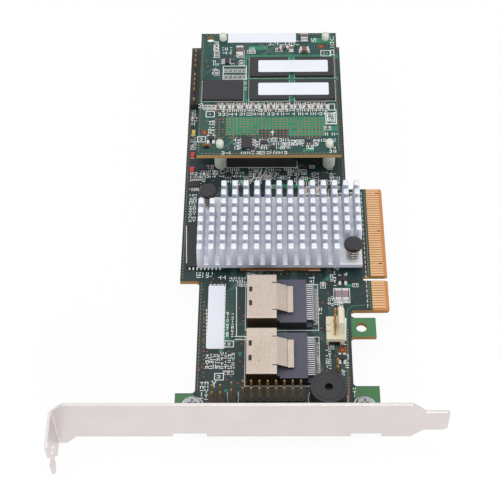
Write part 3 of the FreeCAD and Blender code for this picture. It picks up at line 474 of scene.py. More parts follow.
# A white room: the world fills the shadows, and soft lamps behind, above and in front give the form
lightLook = {
    "ambient": 0.74,
    "lamps": {
        "backWindow": {"place": (-0.66, 0.22, 0.7), "size": 0.5, "power": 0.65},
        "roofWindow": {"place": (-0.06, 0.1, 1.0), "size": 0.6, "power": 1.75},
        "frontFill": {"place": (0.2, -0.85, 0.25), "size": 0.45, "power": 3.8},
    },
    "aim": (-0.04, 0.08, 0.0), "floorDrop": 0.0004, "floorSize": 8, "floorGlow": 0.93, "floorShade": 0.97,
    "floorRough": 0.9,
}


def whiteToEye(tree):
    # 1 for what the camera, a reflection or clear plastic sees, 0 for light that falls on the card
    path = tree.nodes.new("ShaderNodeLightPath").outputs
    seen = mathNode(tree, "MAXIMUM", path["Is Camera Ray"], path["Is Glossy Ray"])
    return mathNode(tree, "MAXIMUM", seen, path["Is Transmission Ray"])


def makeLights(look):
    world = bpy.data.worlds.new("whiteRoom")
    scene.world = world
    world.use_nodes = True
    tree = world.node_tree
    strength = mathNode(tree, "MULTIPLY_ADD", whiteToEye(tree), 1 - look["ambient"], look["ambient"])
    feed(tree, tree.nodes["Background"], {"Color": (1, 1, 1, 1), "Strength": strength})
    for name, lamp in look["lamps"].items():
        data = bpy.data.lights.new(name, "AREA")
        data.shape = "SQUARE"
        data.size = lamp["size"]
        data.energy = lamp["power"]
        light = linked(name, data)
        place = Vector(lamp["place"])
        turn = (Vector(look["aim"]) - place).to_track_quat("-Z", "Y").to_matrix().to_4x4()
        light.matrix_world = Matrix.Translation(place) @ turn


def makeFloor(look):
    material, tree, shader = newMaterial("paleFloor")
    feed(tree, shader, {"Base Color": (*[look["floorShade"]] * 3, 1), "Roughness": look["floorRough"]})
    glow = addNode(tree, "ShaderNodeEmission", {"Color": (1, 1, 1, 1), "Strength": 1.0})
    amount = mathNode(tree, "MULTIPLY", whiteToEye(tree), look["floorGlow"])
    mix = addNode(tree, "ShaderNodeMixShader", {0: amount, 1: shader.outputs["BSDF"], 2: glow.outputs[0]})
    feed(tree, tree.nodes["Material Output"], {"Surface": mix.outputs[0]})
    half = look["floorSize"] / 2
    z = cadLow[2] - look["floorDrop"]
    corners = [(-half, -half, z), (half, -half, z), (half, half, z), (-half, half, z)]
    mesh = bpy.data.meshes.new("paleFloor")
    mesh.from_pydata(corners, [], [(0, 1, 2, 3)])
    mesh.materials.append(material)
    linked("paleFloor", mesh)


makeLights(lightLook)
makeFloor(lightLook)
print("camera, lights and floor built")


# Small tools for the added pieces, all in millimetres
def boxOf(nodeName):
    return [Vector(corner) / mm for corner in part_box(nodeName)]


def middleOf(low, high):
    return (low.x + high.x) / 2, (low.y + high.y) / 2


def islandsOf(nodeName):
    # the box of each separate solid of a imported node
    work = bmesh.new()
    work.from_mesh(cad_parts[nodeName].data)
    bmesh.ops.remove_doubles(work, verts=work.verts, dist=0.001 * mm)
    left = set(work.verts)
    boxes = []
    while left:
        front = [left.pop()]
        found = list(front)
        while front:
            for edge in front.pop().link_edges:
                for vert in left.intersection(edge.verts):
                    left.remove(vert)
                    front.append(vert)
                    found.append(vert)
        low, high = (Vector([pick(v.co[axis] for v in found) for axis in range(3)]) / mm for pick in (min, max))
        boxes.append((low, high))
    work.free()
    return sorted(boxes, key=lambda box: (round(box[0].x, 2), round(box[0].y, 2)))


boardBottomZ, boardTopZ = (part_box("main_board")[end][2] / mm for end in (0, 1))
cacheBottomZ, cacheTopZ = (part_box("cache_board")[end][2] / mm for end in (0, 1))
levels = {"cache": cacheTopZ, "main": boardTopZ}


def newPointTree(name, inputs):
    # a geometry tree that takes points, with its sizes as named inputs
    return newTree(name, "GeometryNodeTree", {"Points": "Geometry", **inputs}, {"Geometry": "Geometry"})


def paint(tree, geometry, material):
    return addNode(tree, "GeometryNodeSetMaterial", {"Geometry": geometry, "Material": material}).outputs[0]


def smoothed(tree, geometry):
    return addNode(tree, "GeometryNodeSetShadeSmooth", {"Geometry": geometry}).outputs[0]


def joined(tree, parts):
    whole = tree.nodes.new("GeometryNodeJoinGeometry")
    for part in parts:
        tree.links.new(part, whole.inputs[0])
    return whole.outputs[0]


def attribute(tree, name, kind):
    return addNode(tree, "GeometryNodeInputNamedAttribute", {"Name": name}, data_type=kind).outputs[0]


def spread(tree, given, end, shape, material=None):
    # one copy of the shape on each point, turned and sized by the point's own attributes, then painted
    copies = addNode(tree, "GeometryNodeInstanceOnPoints", {
        "Points": given["Points"], "Instance": shape, "Scale": attribute(tree, "reach", "FLOAT_VECTOR"),
        "Rotation": combine(tree, Z=attribute(tree, "turn", "FLOAT"))})
    grown = addNode(tree, "GeometryNodeRealizeInstances", {"Geometry": copies.outputs[0]}).outputs[0]
    feed(tree, end, {"Geometry": paint(tree, grown, material) if material else grown})
    return tree


def pointMesh(name, rows):
    # rows: (x, y, z, (reach x, y, z), turn in degrees)
    mesh = bpy.data.meshes.new(name)
    mesh.from_pydata([tuple(c * mm for c in row[:3]) for row in rows], [], [])
    mesh.attributes.new("reach", "FLOAT_VECTOR", "POINT")
    mesh.attributes.new("turn", "FLOAT", "POINT")
    reach, turn = mesh.attributes["reach"], mesh.attributes["turn"]
    for index, (x, y, z, size, degrees) in enumerate(rows):
        reach.data[index].vector = tuple(c * mm for c in size)
        turn.data[index].value = math.radians(degrees)
    return mesh


def showPiece(name, mesh, replaced=()):
    piece = linked(name, mesh)
    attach(piece, "root")
    if replaced:
        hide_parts(*replaced)
    return piece


def growPiece(name, tree, rows, values, replaced=()):
    # runs a geometry tree on the points and keeps the plain mesh that comes out
    seed = linked(name + "Seed", pointMesh(name + "Points", rows))
    modifier = seed.modifiers.new(tree.name, "NODES")
    modifier.node_group = tree
    for item in tree.interface.items_tree:
        if item.item_type == "SOCKET" and item.in_out == "INPUT" and item.name in values:
            modifier[item.identifier] = values[item.name]
    graph = bpy.context.evaluated_depsgraph_get()
    grown = bpy.data.meshes.new_from_object(seed.evaluated_get(graph), depsgraph=graph)
    seed.modifiers.remove(modifier)
    bpy.data.objects.remove(seed)
    grown.name = name
    return showPiece(name, grown, replaced)


def makeBarTree():
    # flat bars with square ends, such as printed marks, pads and tracks
    tree, given, end = newPointTree("flatBars", {"Material": "Material"})
    cube = addNode(tree, "GeometryNodeMeshCube")
    return spread(tree, given, end, cube.outputs["Mesh"], given["Material"])


def makeRingTree():
    # round pads with a darker or plated middle, such as vias and hole rims
    tree, given, end = newPointTree("roundPads", {
        "Sides": 10, "Hole Share": 0.45, "Rim": "Material", "Middle": "Material"})
    discs = []
    for radius, depth, finish in ((1.0, 1.0, "Rim"), (given["Hole Share"], 1.25, "Middle")):
        disc = addNode(tree, "GeometryNodeMeshCylinder", {
            "Vertices": given["Sides"], "Radius": radius, "Depth": depth})
        discs.append(paint(tree, disc.outputs["Mesh"], given[finish]))
    return spread(tree, given, end, joined(tree, discs))


def makeCeramicTree():
    # ceramic chip parts: a body between two metal ends, its long way along the point's own X
    tree, given, end = newPointTree("ceramicParts", {
        "End Share": 0.22, "Body": "Material", "Ends": "Material"})
    share = given["End Share"]
    size = combine(tree, X=mathNode(tree, "MULTIPLY_ADD", share, -2, 1), Y=0.95, Z=0.96)
    body = addNode(tree, "GeometryNodeMeshCube", {"Size": size})
    parts = [paint(tree, body.outputs["Mesh"], given["Body"])]
    away = mathNode(tree, "MULTIPLY_ADD", share, -0.5, 0.5)
    for side in (-1, 1):
        cap = addNode(tree, "GeometryNodeMeshCube", {"Size": combine(tree, X=share, Y=1, Z=1)})
        moved = addNode(tree, "GeometryNodeTransform", {
            "Geometry": cap.outputs["Mesh"],
            "Translation": combine(tree, X=mathNode(tree, "MULTIPLY", away, side))})
        parts.append(paint(tree, moved.outputs[0], given["Ends"]))
    lifted = addNode(tree, "GeometryNodeTransform", {
        "Geometry": joined(tree, parts), "Translation": (0, 0, 0.5)})
    return spread(tree, given, end, lifted.outputs[0])


def makeBeadTree():
    # soldered joints: low round beads
    tree, given, end = newPointTree("solderBeads", {"Material": "Material"})
    ball = addNode(tree, "GeometryNodeMeshUVSphere", {"Segments": 8, "Rings": 5, "Radius": 1.0})
    return spread(tree, given, end, smoothed(tree, ball.outputs["Mesh"]), given["Material"])


barTree = makeBarTree()
ringTree = makeRingTree()
ceramicTree = makeCeramicTree()
beadTree = makeBeadTree()
print("geometry trees built")


def growBars(name, bars, finish):
    # each bar a little higher or lower than the next, so that no two faces lie in one plane
    most, stride = 0.4, 0.618
    rows = [(x, y, z, (length, width, high * (1 + most * (index * stride % 1))), turn)
            for index, (x, y, z, (length, width, high), turn) in enumerate(bars)]
    growPiece(name, barTree, rows, {"Material": materials[finish]})


def growRings(name, rows, sides, holeShare, rim="viaCopper", middle="bareCopper"):
    growPiece(name, ringTree, rows, {"Sides": sides, "Hole Share": holeShare, "Rim": materials[rim],
                                     "Middle": materials[middle]})


def growCeramics(name, rows, body, endShare=0.24, replaced=()):
    growPiece(name, ceramicTree, rows, {"End Share": endShare, "Body": materials[body],
                                        "Ends": materials["leadTin"]}, replaced)


# Heatsink: one base plate and a field of tapered fins with rounded tips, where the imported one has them.
# Rays from above find the fins, along a line that misses the two cleared corners
finLook = {
    "cornerRadius": 0.28, "tipRadius": 0.4, "tipSpread": 0.3, "depthSpread": 0.1, "rings": 6, "sunk": 0.02,
    "baseEdge": 0.25, "tipBand": 0.8, "offMiddle": 1.6, "rayStep": 0.05, "rayMargin": 0.5, "rayStart": 30,
    "middleColumn": 7, "middleRow": 3,
}


def makeFinTree():
    tree, given, end = newPointTree("finField", {
        "Root Width": 2.4, "Top Width": 1.45, "Depth": 2.3, "Height": 8.9, "Corner Radius": 0.3,
        "Tip Radius": 0.4, "Rings": 6, "Material": "Material"})

    def calc(*values, **more):
        return mathNode(tree, *values, **more)

    line = addNode(tree, "GeometryNodeCurvePrimitiveLine", {"End": (0, 0, 1)})
    steps = addNode(tree, "GeometryNodeResampleCurve", {"Curve": line.outputs[0], "Count": given["Rings"]})
    along = addNode(tree, "GeometryNodeSplineParameter")
    kept = addNode(tree, "GeometryNodeStoreNamedAttribute", {
        "Geometry": steps.outputs[0], "Name": "rise", "Value": along.outputs["Factor"]},
        data_type="FLOAT", domain="POINT")
    outline = addNode(tree, "GeometryNodeCurvePrimitiveQuadrilateral", {
        "Width": given["Root Width"], "Height": given["Depth"]})
    soft = addNode(tree, "GeometryNodeFilletCurve", {
        "Curve": outline.outputs[0], "Count": 1, "Radius": given["Corner Radius"]}, mode="POLY")
    column = addNode(tree, "GeometryNodeCurveToMesh", {
        "Curve": kept.outputs[0], "Profile Curve": soft.outputs[0], "Fill Caps": True})
    rise = attribute(tree, "rise", "FLOAT")
    first = calc("DIVIDE", 1, calc("SUBTRACT", given["Rings"], 1))
    past = calc("DIVIDE", calc("SUBTRACT", rise, first), calc("SUBTRACT", 1, first), clamp=True)
    angle = calc("MULTIPLY", past, math.pi / 2)
    tip, height = given["Tip Radius"], given["Height"]
    high = calc("MULTIPLY_ADD", calc("SINE", angle), tip, calc("SUBTRACT", height, tip))
    level = calc("MULTIPLY", high, calc("GREATER_THAN", rise, 0.001))
    inset = calc("MULTIPLY", tip, calc("SUBTRACT", 1, calc("COSINE", angle)))
    narrower = calc("SUBTRACT", given["Top Width"], given["Root Width"])
    width = calc("MULTIPLY_ADD", calc("DIVIDE", level, height), narrower, given["Root Width"])
    place = axesOf(tree, addNode(tree, "GeometryNodeInputPosition").outputs[0])
    moved = {"Z": level}
    for axis, size, full in (("X", width, given["Root Width"]), ("Y", given["Depth"], given["Depth"])):
        size = calc("MULTIPLY_ADD", inset, -2, size)
        moved[axis] = calc("MULTIPLY", place[axis], calc("DIVIDE", size, full))
    formed = addNode(tree, "GeometryNodeSetPosition", {
        "Geometry": column.outputs[0], "Position": combine(tree, **moved)})
    return spread(tree, given, end, formed.outputs[0], given["Material"])


def blockInto(work, low, high, edge=0):
    # a block, with its edges softened where a size is given, into an open bmesh
    centre = (Vector(low) + Vector(high)) / 2 * mm
    size = (Vector(high) - Vector(low)) * mm
    place = Matrix.Translation(centre) @ Matrix.Diagonal((*size, 1))
    made = bmesh.ops.create_cube(work, size=1, matrix=place)
    if edge:
        edges = list({line for vert in made["verts"] for line in vert.link_edges})
        bmesh.ops.bevel(work, geom=edges, offset=edge * mm, segments=2, profile=0.5, affect="EDGES")


def bmeshPiece(name, work, finishNames, replaced=()):
    smoothBelow = math.radians(35)
    mesh = bpy.data.meshes.new(name)
    bmesh.ops.recalc_face_normals(work, faces=work.faces)
    for edge in work.edges:
        edge.smooth = len(edge.link_faces) == 2 and edge.calc_face_angle(0) < smoothBelow
    work.to_mesh(mesh)
    work.free()
    for finish in finishNames:
        mesh.materials.append(materials[finish])
    return showPiece(name, mesh, replaced)


def rayTop(tree, x, y):
    hit = tree.ray_cast(Vector((x, y, finLook["rayStart"])) * mm, Vector((0, 0, -1)))
    return hit[0].z / mm if hit[0] is not None else -math.inf


def finRuns(tree, fixed, low, high, across, height):
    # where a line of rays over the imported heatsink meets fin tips: centres and widths
    step = finLook["rayStep"]
    low, high = low - finLook["rayMargin"], high + finLook["rayMargin"]
    runs = []
    inside = None
    for index in range(int((high - low) / step) + 1):
        at = low + index * step
        tall = rayTop(tree, *((at, fixed) if across else (fixed, at))) > height
        if tall and inside is None:
            inside = at
        if not tall and inside is not None:
            runs.append(((inside + at - step) / 2, at - step - inside))
            inside = None
    return runs


def makeHeatsink(look):
    low, high = boxOf("heatsink")
    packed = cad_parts["heatsink"].data
    tree = BVHTree.FromPolygons([v.co for v in packed.vertices], [p.vertices for p in packed.polygons])
    tipZ = high.z - look["tipBand"]
    columns = finRuns(tree, (low.y + high.y) / 2 + look["offMiddle"], low.x, high.x, True, tipZ)
    (x0, width), (x1, _) = columns[look["middleColumn"]:look["middleColumn"] + 2]
    rows = finRuns(tree, x0, low.y, high.y, False, tipZ)
    (y0, depth), (y1, _) = rows[look["middleRow"]:look["middleRow"] + 2]
    baseTop = rayTop(tree, (x0 + x1) / 2, (y0 + y1) / 2)
    spots = [(x, y, baseTop - look["sunk"], (1, 1, 1), 0) for x, _ in columns for y, _ in rows
             if rayTop(tree, x, y) > tipZ]
    pitch = x1 - x0
    print("heatsink fins:", len(spots), "in", len(columns), "columns and", len(rows), "rows, pitch",
          round(pitch, 3))
    growPiece("heatsinkFins", makeFinTree(), spots, {
        "Root Width": high.x - low.x - pitch * (len(columns) - 1), "Top Width": width + look["tipSpread"],
        "Depth": depth + look["depthSpread"], "Height": high.z - baseTop,
        "Corner Radius": look["cornerRadius"], "Tip Radius": look["tipRadius"], "Rings": look["rings"],
        "Material": materials["finAluminium"]}, ["heatsink"])
    # the base plate takes the lighter copy of the aluminium: painted light
    work = bmesh.new()
    blockInto(work, low, (high.x, high.y, baseTop), look["baseEdge"])
    bmeshPiece("heatsinkBase", work, ["sinkBasePaintedLight"], ["heatsink"])


makeHeatsink(finLook)
print("heatsink built")


# Turned pieces: rings of (radius, height) round an upright line
def turnedInto(work, x, y, rings, sides):
    loops = []
    for radius, z in rings:
        turns = [2 * math.pi * index / sides for index in range(sides)] if radius else [0]
        loops.append([work.verts.new(Vector((x + radius * math.cos(a), y + radius * math.sin(a), z)) * mm)
                      for a in turns])
    for lower, upper in zip(loops, loops[1:]):
        for index in range(sides):
            corners = [lower[index % len(lower)], lower[(index + 1) % len(lower)],
                       upper[(index + 1) % len(upper)], upper[index % len(upper)]]
            work.faces.new(list(dict.fromkeys(corners))).smooth = True


def arcRings(radius, z, size, steps, start, end):
    # rings along a rounded edge of the given size, from one angle to another, in degrees
    angles = [math.radians(start + (end - start) * step / steps) for step in range(steps + 1)]
    return [(radius + size * math.cos(a), z + size * math.sin(a)) for a in angles]


# Nylon standoffs: a shouldered post, a rounded tip above the cache board, a snap end below the main board
standoffLook = {
    "tip": 1.4, "dome": 1.0, "neck": 1.2, "foot": 0.8, "body": 2.2, "shoulder": 0.25, "snap": 1.35,
    "snapHeight": 0.5, "snapEnd": [(0.55, 0), (1.0, 0.5)], "footArc": (4, -75, 0), "domeArc": (5, 12, 90),
    "lip": 0.01, "tipLip": 0.05, "tipDrop": 0.25, "sides": 28,
}


def makeStandoffs(look):
    tip, dome, neck, foot, body, shoulder, snap, lip, tipLip = (look[key] for key in (
        "tip", "dome", "neck", "foot", "body", "shoulder", "snap", "lip", "tipLip"))
    work = bmesh.new()
    for low, high in islandsOf("board_standoffs"):
        domeZ = high.z - dome
        rings = [(0, low.z)] + [(radius, low.z + rise) for radius, rise in look["snapEnd"]]
        rings += [(snap, boardBottomZ - look["snapHeight"]), (snap, boardBottomZ - 2 * lip)]
        rings += [(neck, boardBottomZ), (neck, boardTopZ), (body - foot, boardTopZ + lip)]
        rings += arcRings(body - foot, boardTopZ + foot, foot, *look["footArc"])
        rings += [(body, cacheBottomZ - shoulder), (body - shoulder, cacheBottomZ - lip)]
        rings += [(neck, cacheBottomZ), (neck, cacheTopZ), (tip, cacheTopZ + tipLip)]
        rings += [(tip, domeZ - look["tipDrop"])]
        rings += arcRings(tip - dome, domeZ - tipLip, dome, *look["domeArc"])
        turnedInto(work, *middleOf(low, high), rings + [(0, high.z)], look["sides"])
    bmeshPiece("nylonPosts", work, ["standoffNylon"], ["board_standoffs"])


makeStandoffs(standoffLook)

# Push pins: a flat round head with a chamfered rim and one flat, a sleeve in the spring, a barb below
pushPinLook = {
    "rim": 0.5, "shaft": 1.15, "sleeve": 1.42, "headThickness": 1.8, "underside": 0.3, "barb": 1.75,
    "barbHeight": 0.4, "point": 0.45, "dish": 0.12, "dishShares": (0.72, 0.62), "flat": 0.42,
    "flatAngles": (-90, 25), "sleeveGap": 0.05, "sleeveSlope": 0.1, "barbLip": 0.04, "rimFlat": 0.1,
    "sides": 48,
}


def makePushPins(look):
    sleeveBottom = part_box("push_pin_springs")[0][2] / mm + look["sleeveGap"]
    rim, shaft, sleeve, under = (look[key] for key in ("rim", "shaft", "sleeve", "underside"))
    outer, inner = look["dishShares"]
    work = bmesh.new()
    for index, (low, high) in enumerate(islandsOf("push_pins")[::-1]):
        radius = (high.x - low.x) / 2
        x, y = high.x - radius, (high.y - radius if index == 0 else (low.y + high.y) / 2)
        headBottom, dishZ = high.z - look["headThickness"], high.z - look["dish"]
        barbZ = boardBottomZ - look["barbHeight"]
        rings = [(0, low.z), (look["point"], low.z), (look["barb"], barbZ)]
        rings += [(shaft, barbZ + look["barbLip"]), (shaft, sleeveBottom)]
        rings += [(sleeve, sleeveBottom + look["sleeveSlope"]), (sleeve, headBottom)]
        rings += [(radius - under, headBottom), (radius, headBottom + under), (radius, high.z - rim)]
        rings += [(radius - rim, high.z), (radius - rim - look["rimFlat"], high.z)]
        rings += [(radius * outer, high.z), (radius * inner, dishZ), (0, dishZ)]
        before = set(work.verts)
        turnedInto(work, x, y, rings, look["sides"])
        # below the chamfer, the side, sleeve, shaft and barb take the near-black finish: painted shade
        for face in work.faces:
            if face.calc_center_median().z < (high.z - rim) * mm and not before.intersection(face.verts):
                face.material_index = 1
        outward = math.radians(look["flatAngles"][index])
        flat = Vector((math.cos(outward), math.sin(outward), 0))
        for vert in set(work.verts) - before:
            past = (vert.co - Vector((x, y, 0)) * mm).dot(flat) - (radius - look["flat"]) * mm
            if past > 0:
                vert.co -= flat * past
    bmeshPiece("pushPinHeads", work, ["connectorPlastic", "paintedShadeBlack"], ["push_pins"])


makePushPins(pushPinLook)

# Push pin springs: a real coil on each pin, swept from a spiral
springLook = {
    "turns": 4.5, "wire": 0.21, "sides": 8, "steps": 22, "wider": 0.36, "start": 90, "room": 0.02,
}


def makeCoilTree():
    tree, given, end = newPointTree("coilSprings", {
        "Turns": 5.5, "Radius": 1.55, "Height": 5.8, "Wire Radius": 0.25, "Wire Sides": 8, "Steps": 22,
        "Material": "Material"})
    spiral = addNode(tree, "GeometryNodeCurveSpiral", {
        "Resolution": given["Steps"], "Rotations": given["Turns"], "Start Radius": given["Radius"],
        "End Radius": given["Radius"], "Height": given["Height"]})
    wire = addNode(tree, "GeometryNodeCurvePrimitiveCircle", {
        "Resolution": given["Wire Sides"], "Radius": given["Wire Radius"]})
    coil = addNode(tree, "GeometryNodeCurveToMesh", {
        "Curve": spiral.outputs[0], "Profile Curve": wire.outputs[0], "Fill Caps": True})
    return spread(tree, given, end, smoothed(tree, coil.outputs[0]), given["Material"])


def makeSprings(look):
    boxes = islandsOf("push_pin_springs")
    low, high = boxes[0]
    outer = (high.x - low.x) / 2 + look["wider"]
    lift = look["wire"] + look["room"]
    spots = [(*middleOf(a, b), a.z + lift, (1, 1, 1), look["start"]) for a, b in boxes]
    growPiece("pinSprings", makeCoilTree(), spots, {
        "Turns": look["turns"], "Radius": outer - look["wire"], "Height": high.z - low.z - 2 * lift,
        "Wire Radius": look["wire"], "Wire Sides": look["sides"], "Steps": look["steps"],
        "Material": materials["springSteel"]}, ["push_pin_springs"])


makeSprings(springLook)
print("standoffs, push pins and springs built")

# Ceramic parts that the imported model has, with their metal ends: node, slot, finish, share of each end
ceramicLook = {
    "boardTan": ("board_capacitors", "ceramic_tan", "capacitorMauve", 0.2),
    "cacheBrown": ("cache_capacitors", "ceramic_brown", "capacitorBrown", 0.2),
    "resistorRow": ("resistor_packs", "ceramic_brown", "resistorBrown", 0.26),
}


def makeCeramics(look):
    for name, (nodeName, slotName, body, ends) in look.items():
        spots = []
        for low, high in islandsOf(nodeName):
            size = high - low
            along = size.x >= size.y
            reach = (size.x, size.y, size.z) if along else (size.y, size.x, size.z)
            spots.append((*middleOf(low, high), low.z, reach, 0 if along else 90))
        growCeramics(name + "Parts", spots, body, ends, [nodeName])


makeCeramics(ceramicLook)
print("ceramic parts built")


# Places read off the photograph: a pixel (across, down) and a height in millimetres give a point
def spot(across, down, z):
    right, up, ahead = cameraAxes(cameraLook)
    picture = cameraLook["picture"]
    focal = cameraLook["lens"] / cameraLook["sensor"] * picture
    ray = ahead + right * ((across - picture / 2) / focal) - up * ((down - picture / 2) / focal)
    place = Vector(cameraLook["place"])
    return place + ray * ((z - place.z) / ray.z)


def rowAt(pixel, z, size, turn=0, rise=0):
    # a row for pointMesh: a thing at the height z whose top, rise above z, is seen at the pixel
    at = spot(*pixel, z + rise)
    return at.x, at.y, z, size, turn


def plainRect(u0, v0, u1, v1, z):
    # the board area under a pixel rectangle
    a, b = spot(u0, v1, z), spot(u1, v0, z)
    return a.x, a.y, b.x, b.y


printRise = 0.03
trackRise = 0.012
lineRise = 0.02


def barBetween(start, end, width, z, rise=printRise):
    # a flat bar from one (x, y) to another
    dx, dy = end[0] - start[0], end[1] - start[1]
    middle = ((start[0] + end[0]) / 2, (start[1] + end[1]) / 2)
    return (*middle, z, (math.hypot(dx, dy) + width, width, rise * 2), math.degrees(math.atan2(dy, dx)))


def frameBars(x0, y0, x1, y1, width, z):
    corners = [(x0, y0), (x1, y0), (x1, y1), (x0, y1)]
    return [barBetween(corners[n], corners[(n + 1) % 4], width, z) for n in range(4)]


def frameRound(low, high, outX, outY, width, z):
    return frameBars(low.x - outX, low.y - outY, high.x + outX, high.y + outY, width, z)


def circleBars(x, y, radius, width, z, steps):
    dots = [(x + radius * math.cos(2 * math.pi * n / steps), y + radius * math.sin(2 * math.pi * n / steps))
            for n in range(steps + 1)]
    return [barBetween(a, b, width, z) for a, b in zip(dots, dots[1:])]


# The plain strokes that stand for print, in millimetres along a row, and their share of the row's depth
strokeLook = {
    "kinds": ("post", "post", "dash", "twin", "gap"), "wide": (0.45, 0.7), "gap": 0.45, "space": 0.16,
    "start": 0.1, "stop": 0.3, "tall": 0.62,
}


def strokes(x0, y0, x1, y1, lines, upright, z, chance, width):
    look = strokeLook
    bars = []
    length, breadth = (y1 - y0, x1 - x0) if upright else (x1 - x0, y1 - y0)
    depth = breadth / lines
    half = depth * look["tall"] / 2
    for line in range(lines):
        middle = (line + 0.5) * depth
        at = look["start"]
        while at < length - look["stop"]:
            kind = chance.choice(look["kinds"])
            if kind == "gap":
                at += look["gap"]
                continue
            wide = chance.uniform(*look["wide"])
            first, last = at + look["start"], at + wide
            if kind == "post":
                pieces = [((first, middle - half), (first, middle + half))]
            else:
                pieces = [((first, middle + side * half), (last, middle + side * half))
                          for side in ((0,) if kind == "dash" else (-1, 1))]
            for piece in pieces:
                ends = [(x1 - b, y0 + a) if upright else (x0 + a, y0 + b) for a, b in piece]
                bars.append(barBetween(*ends, width, z))
            at += wide + look["space"]
    return bars


# Print on the two boards. Pixel rectangles hold rows of strokes: across, down, across, down, rows, upright
boardPrint = {
    "blocks": [
        (196, 272, 213, 278, 2, False), (218, 275, 227, 280, 1, False), (229, 277, 245, 282, 2, False),
        (237, 281, 247, 287, 2, False), (226, 312, 229, 337, 1, True), (231, 312, 234, 337, 1, True),
        (205, 353, 235, 369, 8, True), (199, 380, 209, 400, 2, True), (330, 271, 336, 286, 2, True),
        (344, 272, 349, 276, 1, False), (309, 276, 315, 287, 3, False), (328, 296, 343, 306, 5, True),
        (319, 308, 322, 314, 1, True), (317, 357, 320, 363, 1, True), (326, 349, 331, 369, 2, True),
        (342, 370, 346, 376, 1, True), (345, 354, 349, 368, 1, True), (340, 343, 346, 346, 1, False),
        (353, 388, 356, 397, 1, True), (200, 170, 217, 178, 3, False), (219, 168, 245, 178, 3, False),
        (264, 168, 292, 180, 3, False), (312, 172, 336, 190, 5, False), (188, 195, 197, 222, 2, True),
        (193, 60, 197, 78, 1, True), (190, 134, 197, 150, 2, True), (190, 172, 198, 182, 3, False),
        (296, 176, 310, 186, 2, False), (334, 262, 340, 270, 2, False), (248, 166, 262, 184, 3, True),
        (222, 180, 244, 186, 2, False), (330, 176, 340, 190, 3, True), (196, 186, 214, 190, 1, False),
        (284, 166, 300, 176, 3, False), (191, 100, 197, 126, 2, True), (198, 172, 206, 184, 2, True),
        (246, 272, 256, 284, 2, True), (336, 374, 341, 388, 1, True), (227, 342.5, 231.5, 345.5, 1, False),
        (216.5, 375, 221.5, 378.5, 1, False),
    ],
    "boxes": [(225, 341, 233.5, 347), (214.5, 373.5, 223.5, 380), (208, 284.5, 225.5, 348.5)],
    "lines": [
        (236.5, 287, 236.5, 336), (235, 336.5, 246, 336.5), (235, 339.5, 246, 339.5),
        (227.5, 393, 227.5, 402), (238.3, 392, 238.3, 402), (247, 270.5, 283, 270.5),
        (309, 270.5, 320, 270.5), (212, 381, 214, 384), (216, 381, 214, 384), (214, 384, 214, 387),
        (226, 161, 226, 167.5), (226, 167.5, 297, 167.5), (297, 161, 297, 167.5), (186.5, 226, 186.5, 263),
        (255, 182, 262, 170), (251, 182, 258, 170), (259, 182, 266, 170), (206.5, 309, 206.5, 348),
    ],
    "thick": [(274, 398, 274, 402), (304, 398, 304, 402), (333, 330, 333, 336), (345.3, 319, 345.3, 340)],
    "stroke": 0.26, "line": 0.28, "seed": 11,
}
cachePrint = {
    "blocks": [
        (213, 41, 219, 58, 2, True), (212, 68, 219, 75, 2, False), (248, 47, 256, 54, 2, False),
        (311, 38, 317, 42, 2, False), (330, 36, 334, 56, 1, True), (244, 82, 247, 90, 1, True),
        (208, 120, 215, 134, 2, True), (218, 102, 326, 105.5, 1, False), (218, 112, 326, 116, 1, False),
        (241, 151, 294, 154.5, 1, False), (314, 138.5, 336, 142, 1, False), (325, 132, 337, 136, 1, False),
        (291, 140, 302, 146, 2, False), (308, 143, 318, 150, 2, False), (221, 151, 231, 155, 1, False),
        (329, 146, 337, 153, 2, False), (258, 138, 290, 150, 3, False), (198, 103, 204, 109, 2, False),
        (326, 111, 336, 124, 4, True), (220, 109, 326, 112, 1, False), (268, 40, 300, 46, 1, False),
        (219, 84, 243, 98, 1, False), (213, 60, 219, 66, 2, False), (247, 138, 252, 150, 2, True),
        (326, 98, 336, 101, 1, False), (222, 47, 232, 55, 2, False), (233, 138, 238, 150, 3, False),
        (208, 112.5, 212.5, 116, 1, False), (199.5, 137.5, 203.5, 141, 1, False),
        (323, 51.5, 328, 55, 1, False),
    ],
    "boxes": [
        (206, 111.5, 214.5, 117), (197.5, 136.5, 205.5, 142), (321, 50.5, 330, 56), (329, 104, 334.5, 110),
        (326, 110, 336, 124), (328, 113, 334, 121), (223, 66, 246.5, 79.5),
    ],
    "lines": [(272.5, 131, 272.5, 135), (271, 132.5, 272.5, 131), (274, 132.5, 272.5, 131)],
    "thick": [], "stroke": 0.25, "line": 0.26, "seed": 23,
}
thickShare = 2.4


def printBars(look, z):
    chance = random.Random(look["seed"])
    bars = []
    for u0, v0, u1, v1, lines, upright in look["blocks"]:
        bars += strokes(*plainRect(u0, v0, u1, v1, z), lines, upright, z, chance, look["stroke"])
    for rect in look["boxes"]:
        bars += frameBars(*plainRect(*rect, z), look["line"], z)
    for kind, width in (("lines", look["line"]), ("thick", look["line"] * thickShare)):
        for u0, v0, u1, v1 in look[kind]:
            bars.append(barBetween(spot(u0, v0, z), spot(u1, v1, z), width, z))
    return bars


# Printed frames round the parts, as room beside and before each part and line width: rings round the screws
# and the buzzer as radius or room, width and steps, and a dashed line beside the fingers
frameLook = {
    "screwRing": (3.35, 0.35, 30), "buzzerRing": (0.4, 0.2, 40), "capacitors": (0.45, 0.6, 0.22),
    "chips": (0.3, 0.3, 0.14), "packs": (0.35, 0.4, 0.2),
    "dashes": {"x": -7.1, "y": (46, 96, 2), "length": 1.1, "width": 0.18},
    "socket": {"left": 0.6, "right": 2.2, "ends": 0.7, "width": 0.2},
}


